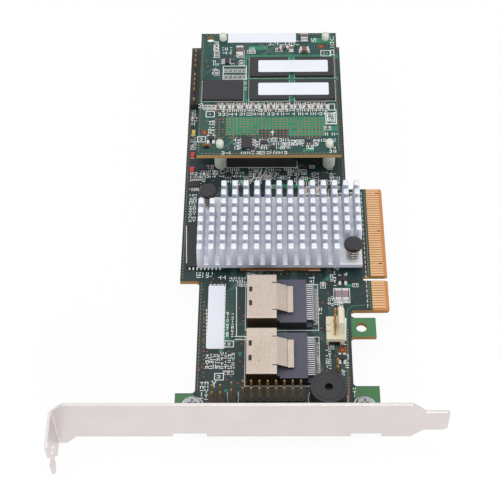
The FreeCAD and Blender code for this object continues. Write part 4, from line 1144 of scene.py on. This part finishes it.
def makePrint(look):
    bars = printBars(boardPrint, boardTopZ)
    ringRadius, ringWidth, ringSteps = look["screwRing"]
    for low, high in islandsOf("bracket_screws"):
        bars += circleBars(*middleOf(low, high), ringRadius, ringWidth, boardTopZ, ringSteps)
    low, high = boxOf("buzzer")
    room, ringWidth, ringSteps = look["buzzerRing"]
    radius = (high.x - low.x) / 2 + room
    bars += circleBars(*middleOf(low, high), radius, ringWidth, boardTopZ, ringSteps)
    for low, high in islandsOf("board_capacitors"):
        bars += frameRound(low, high, *look["capacitors"], boardTopZ)
    dashes = look["dashes"]
    for y in range(*dashes["y"]):
        ends = (dashes["x"], y), (dashes["x"], y + dashes["length"])
        bars.append(barBetween(*ends, dashes["width"], boardTopZ))
    socket = look["socket"]
    for side in ("near", "far"):
        low, high = boxOf(side + "_sas_housing")
        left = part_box(side + "_sas_cage")[0][0] / mm - socket["left"]
        bars += frameBars(left, low.y - socket["ends"], high.x + socket["right"], high.y + socket["ends"],
                          socket["width"], boardTopZ)
    growBars("mainBoardPrint", bars, "printWhite")
    bars = printBars(cachePrint, cacheTopZ)
    for nodeName, kind in (("memory_chips", "chips"), ("cache_control_chip", "chips"),
                           ("resistor_packs", "packs")):
        for low, high in islandsOf(nodeName):
            bars += frameRound(low, high, *look[kind], cacheTopZ)
    growBars("cacheBoardPrint", bars, "printWhite")


makePrint(frameLook)
print("print on both boards built")

# Plated holes: the dense field on the cache board, strays on both boards as room from the main board's
# edges, and rows along the main board as pixel ends and a pitch in millimetres
viaLook = {
    "field": {"x": (-58.2, -19.9), "y": (111.9, 121.9), "pitch": 1.27, "radius": 0.25, "share": 0.93},
    "strayCount": 130, "strayRadius": 0.22, "cacheRoom": 1.5, "mainRoom": (7, 14, 2), "mainRight": -15,
    "seed": 5, "holeShare": 0.4, "sides": 8,
    "rows": {
        "leftEdge": (204, 302, 203.5, 377, 1.6), "slotSide": (349, 402, 348, 330, 1.1),
        "fingerSide": (368.5, 305, 366, 196, 1.2), "underSink": (261.5, 273, 320, 274.5, 2.0),
        "wingSide": (349.5, 378, 349.5, 402, 0.9),
    },
}


def makeVias(look):
    chance = random.Random(look["seed"])
    field = look["field"]
    size, small = ((radius, radius, printRise * 2) for radius in (field["radius"], look["strayRadius"]))
    spots = []
    y = field["y"][0]
    while y <= field["y"][1]:
        x = field["x"][0]
        while x <= field["x"][1]:
            if chance.random() < field["share"]:
                spots.append((x, y, cacheTopZ, size, 0))
            x += field["pitch"]
        y += field["pitch"]
    low, high = boxOf("cache_board")
    room = look["cacheRoom"]
    for _ in range(look["strayCount"]):
        x, y = chance.uniform(low.x + room, high.x - room), chance.uniform(low.y + room, high.y - room)
        spots.append((x, y, cacheTopZ, small, 0))
    growRings("cacheBoardVias", spots, look["sides"], look["holeShare"])
    spots = []
    for u0, v0, u1, v1, pitch in look["rows"].values():
        first, last = spot(u0, v0, boardTopZ), spot(u1, v1, boardTopZ)
        count = int((last - first).length / pitch)
        for step in range(count + 1):
            at = first.lerp(last, step / count)
            spots.append((at.x, at.y, boardTopZ, small, 0))
    low, high = boxOf("main_board")
    left, near, far = look["mainRoom"]
    for _ in range(look["strayCount"] * 3):
        x, y = chance.uniform(low.x + left, look["mainRight"]), chance.uniform(low.y + near, high.y - far)
        spots.append((x, y, boardTopZ, small, 0))
    spots += [(x, y, boardBottomZ, reach, turn) for x, y, z, reach, turn in spots]
    growRings("mainBoardVias", spots, look["sides"], look["holeShare"])


makeVias(viaLook)
print("plated holes built")

# Copper under the mask, seen as brighter green, as pixel rectangles on each board
copperAreas = {
    "cache": [
        (226, 116.5, 326.5, 129.5), (226, 129.5, 259, 135), (288.5, 129.5, 326.5, 136),
        (246, 54.5, 338, 58.5), (288.5, 58, 293, 78), (246, 77, 338, 80), (288.5, 80, 294, 100),
        (243.5, 58, 247, 100), (244, 99, 296, 101.5), (203, 98, 240, 100.5), (313, 38, 334, 43),
        (303, 149, 314, 151.5), (326.5, 126, 338, 131), (250, 46, 268, 50),
    ],
    "main": [
        (225, 320, 229, 340), (219, 349.5, 223, 352.5), (238, 352, 242, 355), (224, 389.5, 228, 392.5),
        (268, 184, 300, 188), (230, 180, 246, 184), (301, 177, 308, 182), (326, 277, 329, 281),
        (345, 284, 352, 287),
    ],
}
trackLook = {
    "cacheBundles": 34, "mainBundles": 70, "lines": (3, 7), "pitch": 0.42, "width": 0.2, "reach": (4, 15),
    "inset": 0.4, "start": 1, "room": 0.6, "areaHeight": 0.036, "mainLow": (-62, 14), "mainHigh": (-13.5, 167),
    "seed": 3,
}


def bundle(chance, low, high, look, z):
    # a few parallel tracks with one bend of 45 degrees
    start, room, width = look["start"], look["room"], look["width"]
    x, y = (chance.uniform(a + start, b - start) for a, b in ((low.x, high.x), (low.y, high.y)))
    heading = chance.choice((0, 90, 180, 270))
    a, b = (math.radians(angle) for angle in (heading, heading + chance.choice((-45, 45))))
    first, second = (chance.uniform(*look["reach"]) for _ in range(2))
    bars = []
    for line in range(chance.randint(*look["lines"])):
        aside = line * look["pitch"]
        run = first - aside * look["inset"]
        begin = (x - math.sin(a) * aside, y + math.cos(a) * aside)
        turn = (begin[0] + math.cos(a) * run, begin[1] + math.sin(a) * run)
        end = (turn[0] + math.cos(b) * second, turn[1] + math.sin(b) * second)
        if all(low.x + room < px < high.x - room and low.y + room < py < high.y - room
               for px, py in (begin, turn, end)):
            bars += [barBetween(begin, turn, width, z, trackRise), barBetween(turn, end, width, z, trackRise)]
    return bars


def makeTracks(look, areas):
    chance = random.Random(look["seed"])
    body = Vector((*look["mainLow"], boardBottomZ)), Vector((*look["mainHigh"], boardTopZ))
    regions = (("cache", boxOf("cache_board"), "cache_mask"), ("main", body, "board_mask"))
    for name, (low, high), slotName in regions:
        bars = []
        for _ in range(look[name + "Bundles"]):
            for z in (high.z, low.z):
                bars += bundle(chance, low, high, look, z)
        growBars(name + "BoardTracks", bars, "trackGreen")
    for name, z in levels.items():
        fields = []
        for area in areas[name]:
            x0, y0, x1, y1 = plainRect(*area, z)
            fields.append(((x0 + x1) / 2, (y0 + y1) / 2, z, (x1 - x0, y1 - y0, look["areaHeight"]), 0))
        growBars(name + "CopperAreas", fields, "openCopper")


makeTracks(trackLook, copperAreas)
print("tracks and copper areas built")

# Small parts that only the photograph tells of: board, finish, then for each part its pixel, its outline and
# height in millimetres and its turn
tiny, small, middling, wide, large = (1.0, 0.55), (1.6, 0.9), (1.7, 1.0), (2.0, 1.25), (3.2, 1.7)
smallParts = {
    "cacheBrown": ("cache", "capacitorBrown", [
        (241, 52, large, 1.1, 90), (241.5, 61.5, middling, 0.8, 90), (279, 48.5, middling, 0.7, 0),
        (257, 143, small, 0.7, 90), (292, 141.5, small, 0.6, 90), (205.5, 106.5, small, 0.6, 90),
        (209.5, 106.5, small, 0.6, 90), (213.5, 106.5, small, 0.6, 90), (327.5, 127, small, 0.6, 0),
        (216.5, 45, tiny, 0.45, 0), (216.5, 48.5, tiny, 0.45, 0), (217, 52, tiny, 0.45, 0),
        (217, 55.5, tiny, 0.45, 0), (216.5, 71.5, (2.0, 1.2), 0.7, 90), (262, 152, tiny, 0.4, 0),
    ]),
    "cacheDark": ("cache", "resistorBrown", [
        *((226 + 4.5 * step, down, tiny, 0.4, 90) for down in (70, 76) for step in range(5)),
        (283, 144, tiny, 0.4, 90), (287, 144, tiny, 0.4, 90), (274, 139, tiny, 0.4, 90),
        (298, 141, tiny, 0.4, 90), (302, 141, tiny, 0.4, 90), (264, 145, tiny, 0.4, 0),
        (310, 146, small, 0.5, 0), (316, 141.5, small, 0.5, 90), (249, 51, tiny, 0.4, 90),
        (253.5, 51, tiny, 0.4, 90), (289.5, 94.5, tiny, 0.4, 0),
    ]),
    "mainTan": ("main", "capacitorTan", [
        (308, 191.5, large, 1.3, 90), (318.5, 191.5, large, 1.3, 90), (267, 176, wide, 0.8, 0),
        (323, 284, small, 0.7, 90), (251, 276, tiny, 0.5, 0), (264, 276, tiny, 0.5, 0),
        (334, 262, small, 0.7, 0),
    ]),
    "mainDark": ("main", "capacitorBrown", [
        (351.5, 194.5, wide, 0.9, 90), (341, 195, wide, 0.9, 90), (257, 174, wide, 0.9, 0),
        (304, 171, small, 0.6, 90), (210, 166, small, 0.6, 0), (298, 179, small, 0.6, 0),
        (355.5, 284.5, tiny, 0.4, 0), (331, 345, small, 0.6, 90), (226, 372, tiny, 0.4, 0),
        (230.5, 372, tiny, 0.4, 0), (339, 371, small, 0.6, 0), (340, 388, small, 0.6, 90),
        (195, 118, small, 0.6, 0), (195, 145, tiny, 0.4, 0), (330, 166, small, 0.6, 90),
        (312, 166, tiny, 0.4, 0), (216, 172, tiny, 0.4, 90), (246, 178, tiny, 0.4, 90),
        (290, 186, tiny, 0.4, 0), (274, 186, tiny, 0.4, 0),
    ]),
}
# Small transistors and chips: pixel, body length, width, height, leads on each side
smallChips = {
    "cache": [
        (264.5, 141.5, 2.2, 1.4, 1.0, 2), (272.5, 147, 2.2, 1.4, 1.0, 2), (233, 60.5, 1.6, 1.3, 0.9, 2),
        (253, 147.5, 1.6, 1.3, 0.9, 2), (308.5, 140, 1.6, 1.3, 0.9, 2),
    ],
    "main": [
        (193.5, 184, 3.6, 2.4, 1.1, 4), (204, 167.5, 2.6, 1.6, 1.0, 3), (228, 174, 2.6, 1.6, 1.0, 3),
        (323.5, 175.5, 3.4, 2.2, 1.1, 4), (283, 172.5, 2.8, 1.6, 1.0, 3), (330.5, 186, 2.2, 1.4, 1.0, 2),
    ],
}
smallLook = {"frameRoom": 0.38, "frameLine": 0.17, "lead": (0.38, 0.75, 0.4), "leadOut": 0.32, "lift": 0.05}


def makeSmallParts(parts, chips, look):
    frames = {name: [] for name in levels}
    for name, (board, body, rows) in parts.items():
        z = levels[board]
        spots = []
        for across, down, outline, height, turn in rows:
            row = rowAt((across, down), z, (*outline, height), turn, height)
            spots.append(row)
            half = [side / 2 + look["frameRoom"] for side in (outline if turn == 0 else outline[::-1])]
            x, y = row[:2]
            frames[board] += frameBars(x - half[0], y - half[1], x + half[0], y + half[1], look["frameLine"], z)
        growCeramics(name + "Small", spots, body)
    for board, bars in frames.items():
        growBars(board + "PartFrames", bars, "printWhite")
    bodies, leads = [], []
    lift, lead = look["lift"], look["lead"]
    for board, rows in chips.items():
        base = levels[board]
        for across, down, length, width, height, count in rows:
            at = spot(across, down, base + height)
            bodies.append((at.x, at.y, base + height / 2 + lift, (length, width, height - 2 * lift), 0))
            for side in (-1, 1):
                y = at.y + side * (width / 2 + look["leadOut"])
                for index in range(count):
                    x = at.x + (index - (count - 1) / 2) * length / count
                    leads.append((x, y, base + lead[2] / 2, lead, 0))
    growBars("transistorBodies", bodies, "chipEpoxy")
    growBars("transistorLeads", leads, "leadTin")


makeSmallParts(smallParts, smallChips, smallLook)
print("small parts built")

# Pads and solder: under the socket contacts, round every pin tail and beside the ceramic parts, and a dark
# strip of painted shade under each row of socket contacts
solderLook = {
    "tailRadius": 0.62, "tailRise": 0.42, "longPin": 1.5, "padReach": 0.34, "padRoom": 0.2, "padHeight": 0.06,
    "beadShares": (0.45, 0.4), "zigzag": 0.5, "contactPad": (1.3, 0.42, 0.07), "contactIn": 0.3,
    "contactBead": (0.55, 0.22, 0.26), "leadPad": (1.0, 0.2), "shadeRoom": (-0.4, 1.0, 0.05), "shadeShift": 0.4,
}


def makeSolder(look):
    beads = []
    for nodeName in ("pin_header_pins", "locking_header_pins", "edge_header_pins", "buzzer_pins"):
        for low, high in islandsOf(nodeName):
            if high.x - low.x > look["longPin"] and nodeName == "edge_header_pins":
                continue
            reach = (look["tailRadius"], look["tailRadius"], look["tailRise"])
            beads.append((*middleOf(low, high), boardBottomZ, reach, 0))
    pads, shades = [], []
    for name in ("near_sas_contacts", "far_sas_contacts"):
        boxes = islandsOf(name)
        for index, (low, high) in enumerate(boxes):
            x, y = high.x + (look["zigzag"] if index % 2 else 0) - look["contactIn"], (low.y + high.y) / 2
            pads.append((x, y, boardTopZ, look["contactPad"], 0))
            beads.append((x, y, boardTopZ + printRise, look["contactBead"], 0))
        left, near = (min(low[axis] for low, high in boxes) for axis in (0, 1))
        right, far = (max(high[axis] for low, high in boxes) for axis in (0, 1))
        # a dark strip under each row of contacts: painted shade
        roomX, roomY, shadeHeight = look["shadeRoom"]
        reach = (right - left + roomX, far - near + roomY, shadeHeight)
        shades.append(((left + right) / 2 - look["shadeShift"], (near + far) / 2, boardTopZ, reach, 0))
    endShare, endRise = look["beadShares"]
    for nodeName in ("board_capacitors", "cache_capacitors", "resistor_packs"):
        base = boardTopZ if nodeName == "board_capacitors" else cacheTopZ
        for low, high in islandsOf(nodeName):
            size = high - low
            along = 0 if size.x >= size.y else 1
            pad = [size.x + look["padRoom"], size.y + look["padRoom"], look["padHeight"]]
            bead = [size.x * endShare, size.y * endShare, size.z * endRise]
            pad[along], bead[along] = look["padReach"] * 2, look["padReach"]
            for side in (-1, 1):
                place = list(middleOf(low, high))
                place[along] += side * (size[along] + look["padRoom"]) / 2
                pads.append((*place, base, tuple(pad), 0))
                beads.append((*place, base, bead, 0))
    for nodeName, base in (("cache_chip_leads", cacheTopZ), ("board_chip_leads", boardTopZ)):
        for low, high in islandsOf(nodeName):
            size = high - low
            past = look["leadPad"] if size.x >= size.y else look["leadPad"][::-1]
            reach = (size.x + past[0], size.y + past[1], look["padHeight"])
            pads.append((*middleOf(low, high), base, reach, 0))
    growPiece("solderJoints", beadTree, beads, {"Material": materials["leadTin"]})
    growBars("solderPads", pads, "leadTin")
    growBars("contactShades", shades, "holeShade")


makeSolder(solderLook)
print("solder and pads built")

# Short copper leads out of each resistor pack, away from the row on both sides
packTailLook = {"far": (-0.62, 0.0, 0.62), "near": (-0.4, 0.4), "size": (0.34, 1.7, 0.05), "gap": 0.45}


def makePackTails(look):
    bars = []
    out = look["gap"] + look["size"][1] / 2
    for low, high in islandsOf("resistor_packs"):
        x = (low.x + high.x) / 2
        for row, y in (("far", high.y + out), ("near", low.y - out)):
            bars += [(x + aside, y, cacheTopZ, look["size"], 0) for aside in look[row]]
    growBars("packTails", bars, "packCopper")


makePackTails(packTailLook)

# Bracket screws: a low domed head with a cross recess, and a shank through the board
screwLook = {
    "dome": 0.9, "rim": 0.35, "recess": (3.0, 0.62, 1.1), "shank": 1.45, "point": 0.3, "head": 2.2, "sides": 40,
    "domeSteps": 8,
}


def makeScrews(look):
    head, cutter = bmesh.new(), bmesh.new()
    shank, rim, dome, point = (look[key] for key in ("shank", "rim", "dome", "point"))
    length, width, depth = look["recess"]
    for low, high in islandsOf("bracket_screws"):
        radius = (high.x - low.x) / 2
        x, y = middleOf(low, high)
        base = max(boardTopZ, high.z - look["head"])
        rings = [(0, low.z), (shank - point, low.z), (shank, low.z + point), (shank, base)]
        rings += [(radius - rim, base), (radius, base + rim), (radius, high.z - dome)]
        for step in range(1, look["domeSteps"]):
            angle = math.radians(90 * step / look["domeSteps"])
            rings.append((radius * math.cos(angle), high.z - dome * (1 - math.sin(angle))))
        turnedInto(head, x, y, rings + [(0, high.z)], look["sides"])
        for a, b in ((length / 2, width / 2), (width / 2, length / 2)):
            blockInto(cutter, (x - a, y - b, high.z - depth), (x + a, y + b, high.z + 1))
    pieces = []
    for name, work in (("screwHeads", head), ("screwRecess", cutter)):
        bmesh.ops.recalc_face_normals(work, faces=work.faces)
        mesh = bpy.data.meshes.new(name)
        work.to_mesh(mesh)
        work.free()
        mesh.materials.append(materials["screwSteel"])
        pieces.append(linked(name, mesh))
    whole, recess = pieces
    cut = whole.modifiers.new("cut", "BOOLEAN")
    cut.operation = "DIFFERENCE"
    cut.object = recess
    cut.use_self = True
    graph = bpy.context.evaluated_depsgraph_get()
    mesh = bpy.data.meshes.new_from_object(whole.evaluated_get(graph), depsgraph=graph)
    bpy.data.objects.remove(whole)
    bpy.data.objects.remove(recess)
    mesh.name = "crossScrews"
    showPiece("crossScrews", mesh, ["bracket_screws"])


makeScrews(screwLook)

# Buzzer: a round can with a softened rim, a shallow ring in its top and a deep sound hole
buzzerLook = {
    "rim": 0.35, "foot": 0.3, "grooveOut": 0.95, "groove": 0.3, "grooveDepth": 0.12, "hole": 1.2,
    "holeEdge": 0.12, "holeDepth": 2.2, "sides": 64, "rimSteps": 6, "flatOut": 0.08, "slope": 0.05,
}


def makeBuzzer(look):
    low, high = boxOf("buzzer")
    radius, top = (high.x - low.x) / 2, high.z
    rim, foot, hole, holeEdge = (look[key] for key in ("rim", "foot", "hole", "holeEdge"))
    out, grooveZ, holeZ = radius - look["grooveOut"], top - look["grooveDepth"], top - look["holeDepth"]
    inner, slope = out - look["groove"], look["slope"]
    rings = [(0, low.z), (radius - foot, low.z), (radius, low.z + foot)]
    rings += arcRings(radius - rim, top - rim, rim, look["rimSteps"], 0, 90)
    rings += [(radius - rim - look["flatOut"], top), (out, top)]
    rings += [(out - slope, grooveZ), (inner + slope, grooveZ)]
    rings += [(inner, top), (hole + holeEdge, top), (hole, top - holeEdge), (hole, holeZ), (0, holeZ)]
    work = bmesh.new()
    turnedInto(work, *middleOf(low, high), rings, look["sides"])
    bmeshPiece("buzzerCan", work, ["connectorPlastic"], ["buzzer"])


makeBuzzer(buzzerLook)

# Copper marks for the placing machine, squares of bare copper with a round: pixel, board, size of the square
copperMarks = {
    "marks": [
        (342.2, 349.8, "main", 2.7, 2.4), (321, 46.5, "cache", 2.4, 2.0), (204.5, 132.5, "cache", 2.2, 2.0),
    ],
    "squareHeight": 0.04, "round": (0.342, 0.342, 0.07), "sides": 16, "holeShare": 0.5,
}


def makeCopperMarks(look):
    squares, rounds = [], []
    for across, down, board, length, width in look["marks"]:
        place = (across, down), levels[board]
        squares.append(rowAt(*place, (length, width, look["squareHeight"])))
        rounds.append(rowAt(*place, look["round"]))
    growBars("copperSquares", squares, "bareCopper")
    growRings("copperRounds", rounds, look["sides"], look["holeShare"], middle="viaCopper")


makeCopperMarks(copperMarks)

# The big label's frame: short dark cuts along the printed line round it
labelCutLook = {"out": 0.35, "cut": 0.5, "pitch": 1.3, "width": 0.34, "height": 0.09}


def makeLabelCuts(look):
    low, high = boxOf("board_label")
    out, cut, width, height = (look[key] for key in ("out", "cut", "width", "height"))
    cuts = []
    y = low.y
    while y < high.y:
        cuts += [(x, y, boardTopZ, (width, cut, height), 0) for x in (low.x - out, high.x + out)]
        y += look["pitch"]
    x = low.x
    while x < high.x:
        cuts += [(x, y, boardTopZ, (cut, width, height), 0) for y in (low.y - out, high.y + out)]
        x += look["pitch"]
    growBars("labelCuts", cuts, "holeShade")


makeLabelCuts(labelCutLook)
print("screws, buzzer, copper marks and label frame built")

# Stitching holes close inside the board edges, thin lines along them, the line before the fingers and a
# guard line as a path of pixels
stitchLook = {
    "inset": 0.75, "pitch": 1.3, "radius": 0.2, "height": 0.08, "line": 0.14, "sides": 8, "holeShare": 0.4,
    "shoulder": (-62.45, 15, 56), "leftStart": 58.2, "topEnd": -13.2, "right": (-12.3, 98), "topStart": 4,
    "fingerLine": (-6.1, [(45.6, 56.4), (59.4, 96.0)], 0.3),
    "guard": [(365, 305), (352, 306), (348, 309), (346.8, 314), (348.2, 398)], "guardLine": 0.28,
}


def makeStitching(look):
    inset = look["inset"]
    low, high = boxOf("cache_board")
    x0, y0, x1, y1 = low.x + inset, low.y + inset, high.x - inset, high.y - inset
    ends = [((x0, y0), (x0, y1)), ((x1, y0), (x1, y1)), ((x0, y0), (x1, y0)), ((x0, y1), (x1, y1))]
    paths = [(*pair, high.z) for pair in ends]
    low, high = boxOf("main_board")
    left, far = low.x + inset, high.y - inset
    (shoulderX, near, stop), (rightX, start) = look["shoulder"], look["right"]
    ends = [((left, look["leftStart"]), (left, far)),
            ((shoulderX + inset, near), (shoulderX + inset, stop)),
            ((left + look["topStart"], far), (look["topEnd"], far)),
            ((rightX - inset, start), (rightX - inset, far))]
    paths += [(*pair, high.z) for pair in ends]
    spots, lines = [], []
    size = (look["radius"], look["radius"], look["height"])
    for first, last, z in paths:
        count = int(math.dist(first, last) / look["pitch"])
        for step in range(count + 1):
            x, y = (a + (b - a) * step / count for a, b in zip(first, last))
            spots.append((x, y, z, size, 0))
        lines.append(barBetween(first, last, look["line"], z, lineRise))
    growRings("edgeStitching", spots, look["sides"], look["holeShare"])
    x, spans, width = look["fingerLine"]
    lines += [barBetween((x, y0), (x, y1), width, boardTopZ, lineRise) for y0, y1 in spans]
    guard = [spot(*pixel, boardTopZ) for pixel in look["guard"]]
    lines += [barBetween(first, last, look["guardLine"], boardTopZ, lineRise)
              for first, last in zip(guard, guard[1:])]
    growBars("edgeLines", lines, "openCopper")


makeStitching(stitchLook)

# Small marks: painted shade under the roof slots of the near cage, three cut fingers, dots at the first leads
# of the chips with a middle of painted shade, painted shade in the gaps between header posts and as a
# recess in the locking header, lamp pads
markLook = {
    "slots": {"pixels": [(251, 288.5), (251, 302.5), (250.5, 343), (250.5, 357)], "size": (1.6, 2.6, 0.12),
              "roof": 0.42, "drop": 0.06},
    "fingers": {"pixels": [(376.5, 193.3), (378.7, 231), (380.5, 263.3)], "size": (1.1, 0.55, 0.02)},
    "dots": {"size": (0.42, 0.42, 0.03), "inset": 1.3, "sides": 12, "holeShare": 0.7,
             "nodes": ["memory_chips", "cache_control_chip", "flash_chip"]},
    "posts": {"pitch": 2.54, "gap": 0.42, "past": 0.05},
    "recess": {"shift": 0.3, "rise": 0.85, "size": (3.6, 0.06, 1.6)},
    "headerSides": {"pixels": [(274, 400), (304, 400)], "z": 1.2, "size": (0.55, 0.07, 2.2)},
    "lampPads": {"out": 0.15, "wider": 0.1, "depth": 0.5, "height": 0.12},
}


def makeSmallMarks(look):
    slots, fingers, dots, posts = (look[key] for key in ("slots", "fingers", "dots", "posts"))
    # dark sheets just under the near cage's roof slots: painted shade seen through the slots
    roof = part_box("near_sas_cage")[1][2] / mm - slots["roof"]
    slotShadeSpots = [spot(*pixel, roof) for pixel in slots["pixels"]]
    rows = [(at.x, at.y, roof - slots["drop"], slots["size"], 0) for at in slotShadeSpots]
    growBars("slotShadeSheets", rows, "holeShade")
    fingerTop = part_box("edge_contacts")[1][2] / mm
    rows = [rowAt(pixel, fingerTop, fingers["size"]) for pixel in fingers["pixels"]]
    growBars("fingerNotches", rows, "bareCopper")
    # pin-one dots: an epoxy rim round a dark middle, painted shade for a dimple
    rows = [(low.x + dots["inset"], low.y + dots["inset"], high.z, dots["size"], 0)
            for nodeName in dots["nodes"] for low, high in islandsOf(nodeName)]
    growRings("chipDots", rows, dots["sides"], dots["holeShare"], "chipEpoxy", "holeShade")
    # dark bars between the header posts and a dark panel on the locking header's near face: painted shade
    headers = islandsOf("pin_header_bodies")
    gaps = []
    for low, high in headers:
        middle, size = (low + high) / 2, high - low
        count = round(size.x / posts["pitch"])
        reach = (posts["gap"], size.y + posts["past"], size.z + posts["past"])
        for gap in range(1, count):
            gaps.append((middle.x + (gap - count / 2) * posts["pitch"], middle.y, middle.z, reach, 0))
    low, high = boxOf("locking_header_body")
    recess = look["recess"]
    x = (low.x + high.x) / 2 - recess["shift"]
    gaps.append((x, low.y, boardTopZ + recess["rise"], recess["size"], 0))
    growBars("headerGapShade", gaps, "paintedShadeBlack")
    sides = look["headerSides"]
    nearY = min(low.y for low, high in headers)
    rows = [(spot(*pixel, headers[-1][1].z / 2).x, nearY, sides["z"], sides["size"], 0)
            for pixel in sides["pixels"]]
    growBars("headerSideMarks", rows, "printWhite")
    lamp = look["lampPads"]
    rows = []
    for low, high in islandsOf("indicator_lamps"):
        size = (high.x - low.x + lamp["wider"], lamp["depth"], lamp["height"])
        for y in (low.y - lamp["out"], high.y + lamp["out"]):
            rows.append(((low.x + high.x) / 2, y, boardTopZ, size, 0))
    growBars("lampPads", rows, "leadTin")


makeSmallMarks(markLook)
print("stitching and small marks built")

# Underside: capacitors in a grid under the processor, strays and print
undersideLook = {
    "columns": 7, "rows": 6, "pitch": 3.1, "size": (1.0, 0.55, 0.45), "strays": 46,
    "sizes": [(1.6, 0.9, 0.6), (1.0, 0.55, 0.45), (2.0, 1.25, 0.8)], "area": ((-60, -16), (34, 160)),
    "apart": 2.4, "blocks": 26, "blockArea": ((-60, -24), (18, 160)), "blockLength": (3, 8),
    "blockDepth": 1.5, "stroke": 0.24, "frame": (1.5, 1.3, 0.18), "seed": 17,
}


def makeUnderside(look):
    chance = random.Random(look["seed"])
    low, high = boxOf("processor_package")
    middle = (low + high) / 2
    size, pitch = look["size"], look["pitch"]
    spots = []
    for column in range(look["columns"]):
        for row in range(look["rows"]):
            x = middle.x + (column - (look["columns"] - 1) / 2) * pitch
            y = middle.y + (row - (look["rows"] - 1) / 2) * pitch
            spots.append((x, y, boardBottomZ - size[2], size, 90 * ((row + column) % 2)))
    while len(spots) < look["columns"] * look["rows"] + look["strays"]:
        x, y = (chance.uniform(*span) for span in look["area"])
        if all(abs(x - a) > look["apart"] or abs(y - b) > look["apart"] for a, b, *rest in spots):
            size = chance.choice(look["sizes"])
            spots.append((x, y, boardBottomZ - size[2], size, chance.choice((0, 90))))
    growCeramics("undersideParts", spots, "capacitorBrown")
    bars = []
    for _ in range(look["blocks"]):
        x, y = (chance.uniform(*span) for span in look["blockArea"])
        right = x + chance.uniform(*look["blockLength"])
        bars += strokes(x, y, right, y + look["blockDepth"], 1, False, boardBottomZ, chance, look["stroke"])
    halfX, halfY, line = look["frame"]
    for x, y, *rest in spots:
        bars += frameBars(x - halfX, y - halfY, x + halfX, y + halfY, line, boardBottomZ)
    growBars("undersidePrint", bars, "printWhite")


makeUnderside(undersideLook)
print("underside built")
